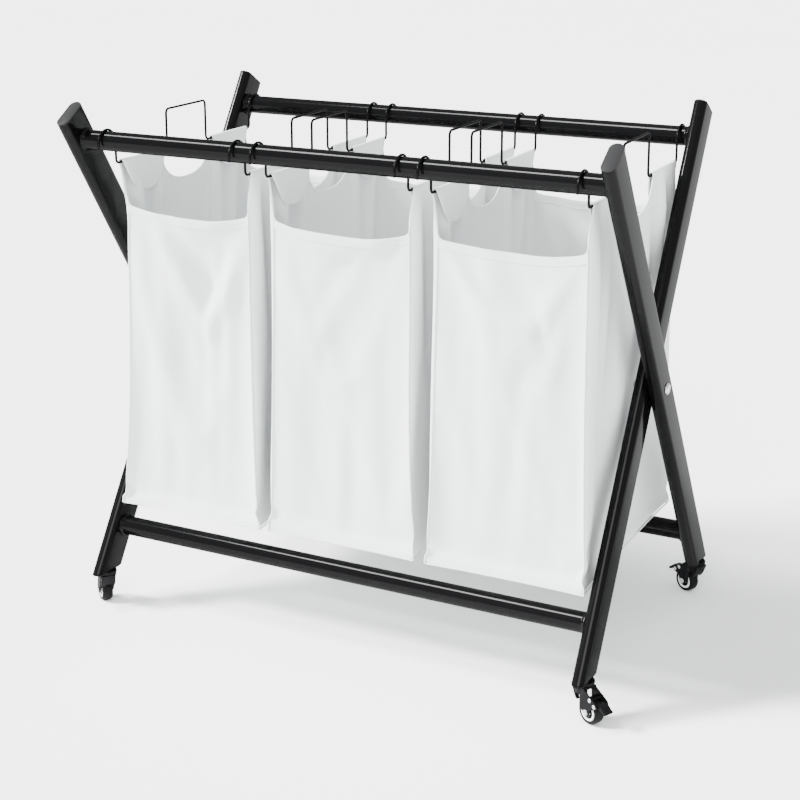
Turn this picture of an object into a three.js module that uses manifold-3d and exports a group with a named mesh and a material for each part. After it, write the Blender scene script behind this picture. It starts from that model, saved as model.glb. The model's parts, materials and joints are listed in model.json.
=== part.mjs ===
// A three-bag laundry sorter on four swivel casters, as a scene graph of named meshes in millimetres.
// +X runs along the cross bars, the front is -Y, +Z is up, and the floor is z = 0 under the middle.
//
// Two leg frames cross at a pivot bolt at each end. The outer frame carries the front top bar and the
// rear bottom bar, the inner frame the rear top bar and the front bottom bar. Each fabric bag hangs from
// two bent wire hangers, which hook over both top bars.
import * as THREE from "three";
import { mergeVertices } from "three/addons/utils/BufferGeometryUtils.js";
import Module from "manifold-3d";

const wasm = await Module();
wasm.setup();

// ---------- driving dimensions: frame ----------
const frameWidth = 760; // over the outer faces of the outer legs
const pivotHeight = 362.5; // pivot bolt above the floor
const legTilt = THREE.MathUtils.degToRad(32.5); // each leg from upright
const legTopReach = 388; // pivot to the top end of a leg, along the leg
const topBarInset = 44; // top end of a leg to its bar, along the leg
const bottomBarRise = 55; // bottom bar above the level foot of the leg
const legWidth = 18; // flat-oval tube, along X
const legDepth = 47; // flat-oval tube, across the leg
const legWall = 1.2;
const barRadius = 13;
const barWall = 1;
const barSides = 24; // facets round a bar
const collarFlare = 2.5; // weld collar where a bar meets a leg, beyond the bar's radius
const collarLength = 5;
const touchGap = 0.3; // between pieces that touch
const slipGap = 0.4; // radial, round a pin or in a sleeve

// ---------- driving dimensions: plugs and pivot ----------
const plugPlate = 2; // visible plate of a leg plug
const plugDepth = 14; // what reaches into the tube
const footPlugDepth = 24;
const pivotRadius = 4;
const pivotHeadRadius = 7.5;
const pivotHeadHeight = 3.2;
const washerRadius = 11;
const washerThickness = 1;
const nutRadius = 6.5;
const nutHeight = 5.5;
const nutTaper = 1.3; // closed end of the nut, smaller in radius
const threadDepth = 3.3; // bolt inside the nut

// ---------- driving dimensions: casters ----------
const wheelRadius = 16;
const tyreWidth = 15;
const rimRadius = 11.4; // where the tyre sits on the wheel centre
const axleRadius = 2;
const casterTrail = 15; // axle behind the swivel axis
const stemRadius = 4;
const stemLength = 22; // inside the leg's foot plug
const cupRadius = 13.5; // swivel cup under the leg
const cupHeight = 4.4;
const kingpinRadius = 3;
const crownThickness = 3; // top plate of the fork
const rivetRadius = 5; // foot of the kingpin, under the crown
const rivetHeight = 2;
const wheelHeadroom = 8.7; // wheel to the foot of the kingpin
const hoodDepth = 10; // skirt of the fork below its crown
const forkPlate = 1.6;
const forkSideGap = 0.6; // tyre to fork plate
const forkWaist = 11; // narrowest place of a fork plate, above the axle
const forkEye = 5.2; // radius of a fork plate round the axle
const pinEar = 4; // radius of a fork plate round the brake pin
const brakePinRadius = 1.5;
const brakePinClear = 3.8; // brake pins outside the tyre's radius
const brakePinAngle = THREE.MathUtils.degToRad(43); // round the axle, up from the trailing side
const springPinAngle = THREE.MathUtils.degToRad(70);
const pinHeadRadius = 2.5;
const pinHeadHeight = 1;
const axleHeadRadius = 3.6;
const axleHeadHeight = 1.6;
const pedalKnuckle = 3; // radius of the pedal round its pin
const pedalNeck = 8; // pin to the wide part of the pedal
const pedalLength = 16; // from its pin to the tip
const pedalWidth = 13;
const pedalThickness = 3;
const pedalFall = 3; // the tread slopes down by this

// ---------- driving dimensions: bags and hangers ----------
const bagCount = 3;
const bagGap = 24; // between neighbouring bags
const bagNutGap = 3.6; // last bag to the pivot nut
const wireRadius = 1.5;
const hookSlack = 3.8; // the hook's bend is this much wider than the bar
const hookTail = 6; // straight end of the hook, outside the bar
const railDrop = 32.5; // wire under the bag's fold, below the bar axis
const handleWidth = 97;
const handleRise = 56.5; // handle above the rail
const wireBend = 6; // bend radius at the corners of the wire
const fabric = 1.2;
const sleeveGap = 0.5; // wire to fabric
const bagDropGap = 1.2; // front and rear panels inside the wires' drops
const bagBarGap = 23; // bag bottom above the bottom bars
const hemDrop = 55; // front and rear hems at the corners, below the rail
const hemSag = 15; // extra at the middle of the hem
const earHandleGap = 7.5; // a side panel's ear to the bend of the handle
const earDropGap = 4.2; // a side panel's ear to the bend of the drop
const earCurveIn = 3; // outer edge of an ear, from the panel's edge
const earCurveDrop = 12;
const scoopDepth = 52; // cut between the ears, below the rail
const scoopShoulder = [6, 30]; // handles of the scoop's curve at an ear, in and down
const scoopBelly = 30; // half width of the scoop's flat bottom
const flapLength = 46; // folded over the wire, inside the bag

// ---------- places worked out from them ----------
const crownToFoot = cupHeight + 2 * touchGap; // crown of a fork to the foot of its leg
const crownDepth = crownThickness + touchGap + rivetHeight; // crown and the kingpin's foot
const legFootHeight = 2 * wheelRadius + wheelHeadroom + crownDepth + crownToFoot;
const outerLegX = frameWidth / 2 - legWidth / 2;
const innerLegX = outerLegX - legWidth - washerThickness - 2 * touchGap;
const innerLegFace = innerLegX - legWidth / 2; // the face towards the bags
const topBarReach = legTopReach - topBarInset;
const topBarY = topBarReach * Math.sin(legTilt);
const topBarZ = pivotHeight + topBarReach * Math.cos(legTilt);
const bottomBarZ = legFootHeight + bottomBarRise;
const bottomBarReach = (pivotHeight - bottomBarZ) / Math.cos(legTilt);
const footY = (pivotHeight - legFootHeight) * Math.tan(legTilt);
const hookRadius = barRadius + touchGap + wireRadius + hookSlack; // to the middle of the wire
const dropY = topBarY - hookRadius;
const railZ = topBarZ - railDrop;
const bagSpan = 2 * (innerLegFace - touchGap - nutHeight - bagNutGap);
const bagWidth = (bagSpan - (bagCount - 1) * bagGap) / bagCount;
const bagPitch = bagWidth + bagGap;
const hangerSpacing = bagWidth - 2 * (wireRadius + sleeveGap + fabric);
const cutReach = frameWidth; // long enough for every cutting block

// ---------- materials ----------
const paint = (colour, roughness, metalness) =>
  new THREE.MeshStandardMaterial({ color: colour, roughness, metalness });
const blackPaint = paint(0x0b0b0c, 0.25, 0.4);
const darkPlastic = paint(0x3a3a3b, 0.5, 0);
const blackPlastic = paint(0x101011, 0.4, 0);
const blackRubber = paint(0x141414, 0.7, 0);
const greyPlastic = paint(0xd4d6d6, 0.45, 0);
const brightSteel = paint(0xd8d8da, 0.2, 1);
const whiteFabric = paint(0xeef2f2, 0.9, 0);

// ---------- helpers ----------
function solid(geometry) {
  const bare = geometry.clone();
  bare.deleteAttribute("normal");
  bare.deleteAttribute("uv");
  const merged = mergeVertices(bare, 1e-4);
  return new wasm.Manifold(
    new wasm.Mesh({
      numProp: 3,
      vertProperties: merged.attributes.position.array,
      triVerts: new Uint32Array(merged.index.array),
    }),
  );
}

function geometryOf(made) {
  const { vertProperties, triVerts } = made.getMesh();
  const geometry = new THREE.BufferGeometry();
  geometry.setAttribute("position", new THREE.BufferAttribute(vertProperties, 3));
  geometry.setIndex(new THREE.BufferAttribute(triVerts, 1));
  geometry.computeVertexNormals();
  return geometry;
}

function add(parent, name, shape, material) {
  const geometry = shape.isBufferGeometry ? shape : geometryOf(shape);
  const mesh = new THREE.Mesh(geometry, material);
  mesh.name = name;
  parent.add(mesh);
  return mesh;
}

function group(parent, x, y, z, turnX = 0, turnZ = 0) {
  const made = new THREE.Group();
  made.position.set(x, y, z);
  made.rotation.set(turnX, 0, turnZ);
  parent.add(made);
  return made;
}

function box(x0, x1, y0, y1, z0, z1) {
  const block = new THREE.BoxGeometry(x1 - x0, y1 - y0, z1 - z0);
  return block.translate((x0 + x1) / 2, (y0 + y1) / 2, (z0 + z1) / 2);
}

const rod = (radius, from, to, sides) =>
  new THREE.CylinderGeometry(radius, radius, to - from, sides).translate(0, (from + to) / 2, 0);
const rodAlongX = (radius, x0, x1, sides = 16) => rod(radius, -x1, -x0, sides).rotateZ(Math.PI / 2);
const rodAlongY = (radius, y0, y1) => rod(radius, y0, y1, 10);
const rodAlongZ = (radius, z0, z1) => rod(radius, z0, z1, 16).rotateX(Math.PI / 2);

// A profile of [radius, height] points, turned about the Y axis, with the solid on its left.
const turned = (profile, sides) =>
  new THREE.LatheGeometry(profile.map(([r, h]) => new THREE.Vector2(r, h)), sides);

// An outline drawn in X and Z, given a thickness from y0 to y1.
function plateXZ(outline, y0, y1) {
  const options = { depth: y1 - y0, bevelEnabled: false, curveSegments: 5 };
  return new THREE.ExtrudeGeometry(outline, options).rotateX(Math.PI / 2).translate(0, y1, 0);
}

// An outline drawn in Y and Z, given a thickness from x0 to x1.
function plateYZ(outline, x0, x1) {
  const options = { depth: x1 - x0, bevelEnabled: false, curveSegments: 5 };
  return new THREE.ExtrudeGeometry(outline, options)
    .rotateX(Math.PI / 2)
    .rotateZ(Math.PI / 2)
    .translate(x0, 0, 0);
}

// A flat-oval tube section, its long side along Y, extruded along Z.
function flatOval(width, depth, z0, z1) {
  const end = (depth - width) / 2;
  const outline = new THREE.Shape();
  outline.absarc(0, end, width / 2, 0, Math.PI);
  outline.absarc(0, -end, width / 2, Math.PI, 2 * Math.PI);
  outline.closePath();
  const options = { depth: z1 - z0, bevelEnabled: false, curveSegments: 4 };
  return new THREE.ExtrudeGeometry(outline, options).translate(0, 0, z0);
}

// ---------- leg frames, built in a group that is tilted about the pivot ----------
const levelToFrame = (geometry, tilt) => geometry.translate(0, 0, -pivotHeight).rotateX(-tilt);
const legLowest = -(pivotHeight - legFootHeight) / Math.cos(legTilt) - legDepth;

// What lies between two heights above the floor, in the tilted group.
const levelSlab = (z0, z1, tilt) =>
  solid(levelToFrame(box(-cutReach, cutReach, -cutReach, cutReach, z0, z1), tilt));

function legTube(tilt) {
  const top = legTopReach - plugPlate - touchGap;
  const outside = solid(flatOval(legWidth, legDepth, legLowest, top));
  const [boreWidth, boreDepth] = [legWidth - 2 * legWall, legDepth - 2 * legWall];
  const bore = solid(flatOval(boreWidth, boreDepth, legLowest - 1, top + 1));
  const pivotHole = solid(rodAlongX(pivotRadius + slipGap, -legWidth, legWidth));
  const belowFoot = levelSlab(-cutReach, legFootHeight + plugPlate + touchGap, tilt);
  return outside.subtract(bore).subtract(belowFoot).subtract(pivotHole);
}

function plugSection(z0, z1) {
  const inset = 2 * (legWall + slipGap);
  return solid(flatOval(legWidth - inset, legDepth - inset, z0, z1));
}

function topPlug() {
  const plate = solid(flatOval(legWidth, legDepth, legTopReach - plugPlate, legTopReach));
  return plate.add(plugSection(legTopReach - plugPlate - plugDepth, legTopReach - plugPlate / 2));
}

function footPlug(tilt) {
  const plateTop = legFootHeight + plugPlate;
  const footMiddle = -(pivotHeight - legFootHeight) / Math.cos(legTilt);
  const high = footMiddle + legDepth;
  const plate = solid(flatOval(legWidth, legDepth, legLowest, high)).intersect(
    levelSlab(legFootHeight, plateTop, tilt),
  );
  const insert = plugSection(legLowest, high).intersect(
    levelSlab(legFootHeight, plateTop + footPlugDepth, tilt),
  );
  const side = Math.sign(tilt);
  const bore = rodAlongZ(stemRadius + slipGap, legFootHeight - 1, plateTop + footPlugDepth + 1);
  return plate.add(insert).subtract(solid(levelToFrame(bore.translate(0, side * footY, 0), tilt)));
}

// A round bar between the inner faces of two legs at x = -reach and x = reach, flared at both welds.
function crossBar(reach) {
  const half = reach - legWidth / 2 - touchGap;
  let bar = solid(rodAlongX(barRadius, -half, half, barSides));
  for (const end of [-1, 1]) {
    const weldRadius = barRadius + collarFlare;
    const flare = new THREE.CylinderGeometry(barRadius, weldRadius, collarLength, barSides)
      .rotateZ((end * Math.PI) / 2)
      .translate(end * (half - collarLength / 2), 0, 0);
    bar = bar.add(solid(flare));
  }
  return bar.subtract(solid(rodAlongX(barRadius - barWall, -half - 1, half + 1, barSides)));
}

function legFrame(parent, name, tilt, legX, topBar, bottomBar) {
  const frame = group(parent, 0, 0, pivotHeight, tilt);
  for (const [end, side] of [["left", -1], ["right", 1]]) {
    const place = group(frame, side * legX, 0, 0);
    add(place, `${name}_leg_${end}`, legTube(tilt), blackPaint);
    add(place, `${name}_leg_top_plug_${end}`, topPlug(), darkPlastic);
    add(place, `${name}_leg_foot_plug_${end}`, footPlug(tilt), blackPlastic);
  }
  add(group(frame, 0, 0, topBarReach), topBar, crossBar(legX), blackPaint);
  add(group(frame, 0, 0, -bottomBarReach), bottomBar, crossBar(legX), blackPaint);
}

// ---------- pivot: a domed bolt, a washer between the legs and a closed nut inside ----------
function pivotBolt(nutFace) {
  const headFace = outerLegX + legWidth / 2 + touchGap;
  const shank = solid(rodAlongX(pivotRadius, nutFace - threadDepth, headFace + 0.5));
  const dome = new THREE.SphereGeometry(pivotHeadRadius, 16, 8);
  dome.scale(pivotHeadHeight / pivotHeadRadius, 1, 1).translate(headFace, 0, 0);
  const inside = box(0, headFace, -cutReach, cutReach, -cutReach, cutReach);
  return solid(dome).subtract(solid(inside)).add(shank);
}

function pivotNut(nutFace) {
  const body = new THREE.CylinderGeometry(nutRadius, nutRadius - nutTaper, nutHeight, 6)
    .rotateZ(-Math.PI / 2)
    .translate(nutFace - nutHeight / 2, 0, 0);
  const thread = rodAlongX(pivotRadius + slipGap, nutFace - threadDepth - touchGap, nutFace + 1);
  return solid(body).subtract(solid(thread));
}

function pivot(parent, end, side) {
  const place = group(parent, 0, 0, pivotHeight, 0, side > 0 ? 0 : Math.PI);
  const nutFace = innerLegFace - touchGap;
  const washerFace = innerLegX + legWidth / 2 + touchGap;
  const washerOuterFace = washerFace + washerThickness;
  const ring = solid(rodAlongX(washerRadius, washerFace, washerOuterFace));
  const hole = solid(rodAlongX(pivotRadius + slipGap, washerFace - 1, washerOuterFace + 1));
  add(place, `pivot_bolt_${end}`, pivotBolt(nutFace), brightSteel);
  add(place, `pivot_washer_${end}`, ring.subtract(hole), darkPlastic);
  add(place, `pivot_nut_${end}`, pivotNut(nutFace), brightSteel);
}

// ---------- casters, built with the swivel axis at x = 0, y = 0 and the wheel trailing along +X ----------
const cupBottom = legFootHeight - touchGap - cupHeight;
const crownTop = legFootHeight - crownToFoot;
const crownBottom = crownTop - crownThickness;
const hoodBottom = crownBottom - hoodDepth;
const plateInside = tyreWidth / 2 + forkSideGap;
const plateOutside = plateInside + forkPlate;

// A place beside the tyre, at an angle round the axle.
const besideTyre = (angle) => [
  casterTrail + (wheelRadius + brakePinClear) * Math.cos(angle),
  wheelRadius + (wheelRadius + brakePinClear) * Math.sin(angle),
];
const brakePin = besideTyre(brakePinAngle);
const springPin = besideTyre(springPinAngle);

function casterStem() {
  const rivetTop = crownBottom - touchGap;
  const cupEdge = 1; // chamfer
  const profile = [
    [0, rivetTop - rivetHeight],
    [rivetRadius, rivetTop - rivetHeight],
    [rivetRadius, rivetTop],
    [kingpinRadius, rivetTop],
    [kingpinRadius, cupBottom],
    [cupRadius - cupEdge, cupBottom],
    [cupRadius, cupBottom + cupEdge],
    [cupRadius, cupBottom + cupHeight],
    [stemRadius, cupBottom + cupHeight],
    [stemRadius, legFootHeight + stemLength],
    [0, legFootHeight + stemLength],
  ];
  return turned(profile, 18).rotateX(Math.PI / 2);
}

// One side plate of a fork, seen from the side, with the wheel trailing to the right.
function forkOutline(braked) {
  const [shoulderBack, shoulderFront] = [10, 11];
  const waistBack = 3;
  const waistZ = wheelRadius + forkWaist;
  const outline = new THREE.Shape();
  outline.moveTo(-shoulderBack, crownTop - 1);
  outline.lineTo(-waistBack, waistZ);
  outline.lineTo(casterTrail - forkEye, wheelRadius);
  outline.absarc(casterTrail, wheelRadius, forkEye, Math.PI, 2 * Math.PI);
  if (braked) {
    outline.lineTo(brakePin[0], brakePin[1] - pinEar);
    outline.absarc(...brakePin, pinEar, -Math.PI / 2, Math.PI / 3);
  } else {
    outline.lineTo(casterTrail + forkEye + 1, waistZ);
  }
  outline.lineTo(shoulderFront, crownTop - 1);
  outline.closePath();
  return outline;
}

// The slanting web that closes a fork on the side away from the wheel.
function forkWeb() {
  const webTop = 1 - cupRadius;
  const webFoot = webTop + 5.5;
  const outline = new THREE.Shape();
  outline.moveTo(webTop, crownTop - 1);
  outline.lineTo(webTop + forkPlate, crownTop - 1);
  outline.lineTo(webFoot + forkPlate, hoodBottom - 2);
  outline.lineTo(webFoot, hoodBottom - 2);
  outline.closePath();
  const half = plateOutside - forkPlate / 4;
  return solid(plateXZ(outline, -half, half));
}

function casterFork(braked) {
  const hood = new THREE.CylinderGeometry(cupRadius, plateOutside, crownTop - hoodBottom, 18)
    .rotateX(Math.PI / 2)
    .translate(0, 0, (crownTop + hoodBottom) / 2);
  const plates = solid(plateXZ(forkOutline(braked), -plateOutside, plateOutside));
  const wheelSpace = box(-cutReach, cutReach, -plateInside, plateInside, -1, crownBottom);
  const skirtSpace = rodAlongZ(cupRadius - 2 * forkPlate, 0, crownBottom);
  let fork = solid(hood).subtract(solid(skirtSpace)).add(plates).subtract(solid(wheelSpace));
  fork = fork.add(forkWeb());
  fork = fork.subtract(solid(rodAlongZ(kingpinRadius + slipGap, 0, crownTop + 1)));
  fork = fork.subtract(solid(rodAlongZ(rivetRadius + slipGap, 0, crownBottom)));
  const holes = [[casterTrail, wheelRadius, axleRadius]];
  if (braked) {
    holes.push([...brakePin, brakePinRadius], [...springPin, brakePinRadius]);
  }
  for (const [x, z, radius] of holes) {
    const hole = rodAlongY(radius + slipGap, -plateOutside - 1, plateOutside + 1);
    fork = fork.subtract(solid(hole.translate(x, 0, z)));
  }
  return fork;
}

// A pin through both fork plates with a round head outside each.
function crossPin(radius, headRadius, headHeight) {
  const headStart = plateOutside + touchGap;
  const headEnd = headStart + headHeight;
  const profile = [
    [0, -headEnd],
    [headRadius, -headEnd],
    [headRadius, -headStart],
    [radius, -headStart],
    [radius, headStart],
    [headRadius, headStart],
    [headRadius, headEnd],
    [0, headEnd],
  ];
  return turned(profile, 10);
}

function tyre() {
  const half = tyreWidth / 2;
  const seat = rimRadius + touchGap;
  const seatInset = 0.8;
  const [edgeFall, edgeInset] = [2.5, 3.5]; // the rounded edge of the tread
  const profile = [
    [seat, seatInset - half],
    [wheelRadius - edgeFall, -half],
    [wheelRadius, edgeInset - half],
    [wheelRadius, half - edgeInset],
    [wheelRadius - edgeFall, half],
    [seat, half - seatInset],
    [seat, seatInset - half],
  ];
  return turned(profile, 28);
}

function wheelCentre() {
  const half = tyreWidth / 2 - 0.5;
  const bore = axleRadius + slipGap;
  const boss = bore + 2.2;
  const rimInside = rimRadius - 2.8;
  const web = 3.2; // half the thickness between boss and rim
  const profile = [
    [bore, -half],
    [boss, -half],
    [boss, -web],
    [rimInside, -web],
    [rimInside, -half],
    [rimRadius, -half],
    [rimRadius, half],
    [rimInside, half],
    [rimInside, web],
    [boss, web],
    [boss, half],
    [bore, half],
    [bore, -half],
  ];
  return turned(profile, 18);
}

// A pedal is narrow enough to turn between the fork plates, and its tread slopes down to the tip.
function brakePedal() {
  const [x, z] = brakePin;
  const neck = new THREE.Shape();
  neck.moveTo(x, z - pedalKnuckle);
  neck.lineTo(x + pedalNeck, z - pedalKnuckle);
  neck.lineTo(x + pedalNeck, z + pedalKnuckle - 1);
  neck.lineTo(x, z + pedalKnuckle);
  neck.absarc(x, z, pedalKnuckle, Math.PI / 2, 1.5 * Math.PI);
  neck.closePath();
  const treadStart = x + pedalNeck - 1;
  const [tipX, tipZ] = [x + pedalLength, z - pedalKnuckle - pedalFall];
  const tread = new THREE.Shape();
  tread.moveTo(treadStart, z - pedalKnuckle);
  tread.lineTo(tipX - 1, tipZ);
  tread.lineTo(tipX, tipZ + pedalThickness / 2);
  tread.lineTo(tipX - 1, tipZ + pedalThickness);
  tread.lineTo(treadStart, z + pedalKnuckle - 1);
  tread.closePath();
  const pinHole = rodAlongY(brakePinRadius + slipGap, -cupRadius, cupRadius).translate(x, 0, z);
  return solid(plateXZ(neck, -pedalWidth / 2, pedalWidth / 2))
    .add(solid(plateXZ(tread, -pedalWidth / 2, pedalWidth / 2)))
    .subtract(solid(pinHole));
}

function caster(parent, name, x, y, swivelDegrees, braked) {
  const place = group(parent, x, y, 0, 0, THREE.MathUtils.degToRad(swivelDegrees));
  const axle = group(place, casterTrail, 0, wheelRadius);
  add(place, `caster_stem_${name}`, casterStem(), brightSteel);
  add(place, `caster_fork_${name}`, casterFork(braked), blackPlastic);
  const axlePin = crossPin(axleRadius, axleHeadRadius, axleHeadHeight);
  add(axle, `caster_axle_${name}`, axlePin, brightSteel);
  add(axle, `caster_tyre_${name}`, tyre(), blackRubber);
  add(axle, `caster_wheel_centre_${name}`, wheelCentre(), greyPlastic);
  if (!braked) return;
  add(place, `brake_pedal_${name}`, brakePedal(), blackPlastic);
  for (const [pin, [pinX, pinZ]] of [["brake_pin", brakePin], ["brake_spring_pin", springPin]]) {
    const rivet = crossPin(brakePinRadius, pinHeadRadius, pinHeadHeight);
    add(group(place, pinX, 0, pinZ), `${pin}_${name}`, rivet, brightSteel);
  }
}

// ---------- hangers: one bent wire each, in the plane x = 0 ----------
// A route through given points, sampled at exactly those points.
class WireRoute extends THREE.Curve {
  constructor(points) {
    super();
    this.points = points;
  }
  getPoint(t, target = new THREE.Vector3()) {
    const last = this.points.length - 1;
    const at = Math.min(t * last, last - 1e-9);
    const first = Math.floor(at);
    return target.lerpVectors(this.points[first], this.points[first + 1], at - first);
  }
  getPointAt(u, target) {
    return this.getPoint(u, target);
  }
  getTangentAt(u, target) {
    return this.getTangent(u, target);
  }
}

const inPlane = (y, z) => new THREE.Vector3(0, y, z);

// Points of an arc about (y, z), from one angle to another in degrees, 0 being +Y and 90 being +Z.
function arcPoints(y, z, radius, from, to, steps) {
  const points = [];
  for (let i = 0; i <= steps; i++) {
    const angle = THREE.MathUtils.degToRad(from + ((to - from) * i) / steps);
    points.push(inPlane(y + radius * Math.cos(angle), z + radius * Math.sin(angle)));
  }
  return points;
}

function hangerWire() {
  const hookZ = topBarZ - hookSlack; // the top of the bend rests on the bar
  const handleEdge = handleWidth / 2;
  const handleZ = railZ + handleRise;
  const r = wireBend;
  const rear = [
    ...arcPoints(handleEdge - r, handleZ - r, r, 90, 0, 3),
    ...arcPoints(handleEdge + r, railZ + r, r, 180, 270, 3),
    ...arcPoints(dropY - r, railZ + r, r, 270, 360, 3),
    ...arcPoints(topBarY, hookZ, hookRadius, 180, 0, 9),
    inPlane(topBarY + hookRadius, hookZ - hookTail),
  ];
  const front = rear.map((point) => inPlane(-point.y, point.z)).reverse();
  const route = new WireRoute([...front, ...rear]);
  const section = new THREE.Shape().absarc(0, 0, wireRadius, 0, 2 * Math.PI);
  return new THREE.ExtrudeGeometry(section, {
    steps: route.points.length - 1,
    extrudePath: route,
    curveSegments: 3,
    bevelEnabled: false,
  });
}

// ---------- bags ----------
const bagHalfWidth = bagWidth / 2;
const sidePanelInside = bagHalfWidth - fabric;
const bagHalfDepth = dropY - bagDropGap;
const bagBottom = bottomBarZ + barRadius + bagBarGap;
const hemZ = railZ - hemDrop;
const sleeveTop = railZ + wireRadius + sleeveGap;
const earInner = handleWidth / 2 + wireBend + earHandleGap;
const earOuter = dropY - wireBend - earDropGap;

// A side panel: full height under the ears, scooped out between them.
function sidePanelOutline() {
  const scoopZ = railZ - scoopDepth;
  const shoulderY = earInner - scoopShoulder[0];
  const shoulderZ = railZ - scoopShoulder[1];
  const edgeY = bagHalfDepth - earCurveIn;
  const edgeZ = railZ - earCurveDrop;
  const outline = new THREE.Shape();
  outline.moveTo(-bagHalfDepth, bagBottom);
  outline.lineTo(bagHalfDepth, bagBottom);
  outline.lineTo(bagHalfDepth, hemZ);
  outline.quadraticCurveTo(edgeY, edgeZ, earOuter, sleeveTop);
  outline.lineTo(earInner, sleeveTop);
  outline.bezierCurveTo(shoulderY, shoulderZ, scoopBelly, scoopZ, 0, scoopZ);
  outline.bezierCurveTo(-scoopBelly, scoopZ, -shoulderY, shoulderZ, -earInner, sleeveTop);
  outline.lineTo(-earOuter, sleeveTop);
  outline.quadraticCurveTo(-edgeY, edgeZ, -bagHalfDepth, hemZ);
  outline.closePath();
  return outline;
}

// A front or rear panel, with a hem that sags between the corners.
function hemmedPanelOutline() {
  const outline = new THREE.Shape();
  outline.moveTo(-bagHalfWidth, bagBottom);
  outline.lineTo(bagHalfWidth, bagBottom);
  outline.lineTo(bagHalfWidth, hemZ);
  outline.quadraticCurveTo(0, hemZ - 2 * hemSag, -bagHalfWidth, hemZ);
  outline.closePath();
  return outline;
}

const inOrder = (a, b) => [Math.min(a, b), Math.max(a, b)];

// One ear's fold over the wire, and its flap on the inside.
function foldedEar(side, y0, y1) {
  const flapFace = hangerSpacing / 2 - wireRadius - sleeveGap;
  const foldX = inOrder(side * (flapFace - fabric), side * bagHalfWidth);
  const flapX = inOrder(side * (flapFace - fabric), side * flapFace);
  const fold = solid(box(...foldX, y0, y1, sleeveTop - 0.01, sleeveTop + fabric));
  return fold.add(solid(box(...flapX, y0, y1, railZ - flapLength, sleeveTop + fabric / 2)));
}

function bagFabric() {
  const width = [-bagHalfWidth, bagHalfWidth];
  const depth = [-bagHalfDepth, bagHalfDepth];
  let bag = solid(box(...width, ...depth, bagBottom, bagBottom + fabric));
  for (const side of [-1, 1]) {
    const hemmedY = inOrder(side * (bagHalfDepth - fabric), side * bagHalfDepth);
    bag = bag.add(solid(plateXZ(hemmedPanelOutline(), ...hemmedY)));
    const sideX = inOrder(side * sidePanelInside, side * bagHalfWidth);
    bag = bag.add(solid(plateYZ(sidePanelOutline(), ...sideX)));
    bag = bag.add(foldedEar(side, -earOuter, -earInner));
    bag = bag.add(foldedEar(side, earInner, earOuter));
  }
  return bag;
}

// ---------- the assembly ----------
const sorter = new THREE.Group();
sorter.name = "laundry_sorter";

legFrame(sorter, "outer", legTilt, outerLegX, "front_top_bar", "rear_bottom_bar");
legFrame(sorter, "inner", -legTilt, innerLegX, "rear_top_bar", "front_bottom_bar");
pivot(sorter, "left", -1);
pivot(sorter, "right", 1);

// Each caster stands swivelled to an angle of its own, and the two on the right have brakes.
caster(sorter, "front_left", -innerLegX, -footY, 140, false);
caster(sorter, "front_right", innerLegX, -footY, -28, true);
caster(sorter, "rear_left", -outerLegX, footY, 140, false);
caster(sorter, "rear_right", outerLegX, footY, 152, true);

for (let i = 0; i < bagCount; i++) {
  const place = group(sorter, (i - (bagCount - 1) / 2) * bagPitch, 0, 0);
  add(place, `bag_${i + 1}`, bagFabric(), whiteFabric);
  for (const [end, side] of [["left", -1], ["right", 1]]) {
    const wire = group(place, (side * hangerSpacing) / 2, 0, 0);
    add(wire, `bag_${i + 1}_hanger_${end}`, hangerWire(), blackPaint);
  }
}

export default sorter;
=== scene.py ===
"""A three-bag laundry sorter on casters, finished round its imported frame.

Run as a script it builds every piece, the floor, the lights and the camera. Lengths are in metres.
The front of the sorter is -Y, its bars run along X, and the floor is z = 0.
"""

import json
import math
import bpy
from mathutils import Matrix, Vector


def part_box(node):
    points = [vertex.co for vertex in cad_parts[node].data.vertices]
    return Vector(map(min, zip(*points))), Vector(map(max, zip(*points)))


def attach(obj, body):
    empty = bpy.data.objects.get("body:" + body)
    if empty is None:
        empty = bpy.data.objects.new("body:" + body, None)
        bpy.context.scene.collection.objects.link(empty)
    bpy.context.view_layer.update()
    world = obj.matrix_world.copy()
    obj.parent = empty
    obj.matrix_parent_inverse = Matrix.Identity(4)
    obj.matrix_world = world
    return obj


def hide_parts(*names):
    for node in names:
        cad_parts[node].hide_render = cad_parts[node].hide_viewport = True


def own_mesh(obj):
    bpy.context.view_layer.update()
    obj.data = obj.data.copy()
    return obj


bl_info = {
    "name": "Laundry Sorter",
    "version": (1, 0, 0),
    "blender": (4, 5, 0),
    "location": "3D View > Sidebar > Sorter",
    "description": "Builds the finished pieces of a laundry sorter with three fabric bags",
    "category": "Add Mesh",
}

import bmesh
import bpy
import numpy as np
from mathutils import Matrix, Vector, noise

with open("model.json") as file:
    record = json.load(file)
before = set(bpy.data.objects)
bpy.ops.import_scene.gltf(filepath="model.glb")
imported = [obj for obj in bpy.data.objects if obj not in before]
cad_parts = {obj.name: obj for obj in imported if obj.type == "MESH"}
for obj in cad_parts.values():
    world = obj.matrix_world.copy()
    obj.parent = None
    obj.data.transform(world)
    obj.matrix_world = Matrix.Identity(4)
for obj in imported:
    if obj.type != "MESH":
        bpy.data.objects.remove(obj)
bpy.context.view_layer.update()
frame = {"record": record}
record = frame["record"]

BODY_OF = {node: body for body, nodes in record["behaviour"]["bodies"].items() for node in nodes}
SLOT_OF = {part["node"]: part["material_slot"] for part in record["subparts"]}
JOINTS = {joint["name"]: joint for joint in record["behaviour"]["joints"]}
ENDS = (("left", -1), ("right", 1))
CORNERS = ("front_left", "front_right", "rear_left", "rear_right")
BAGS = sorted(node for node in SLOT_OF if node.startswith("bag_") and "hanger" not in node)


def centre(node):
    low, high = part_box(node)
    return (Vector(low) + Vector(high)) / 2


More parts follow.
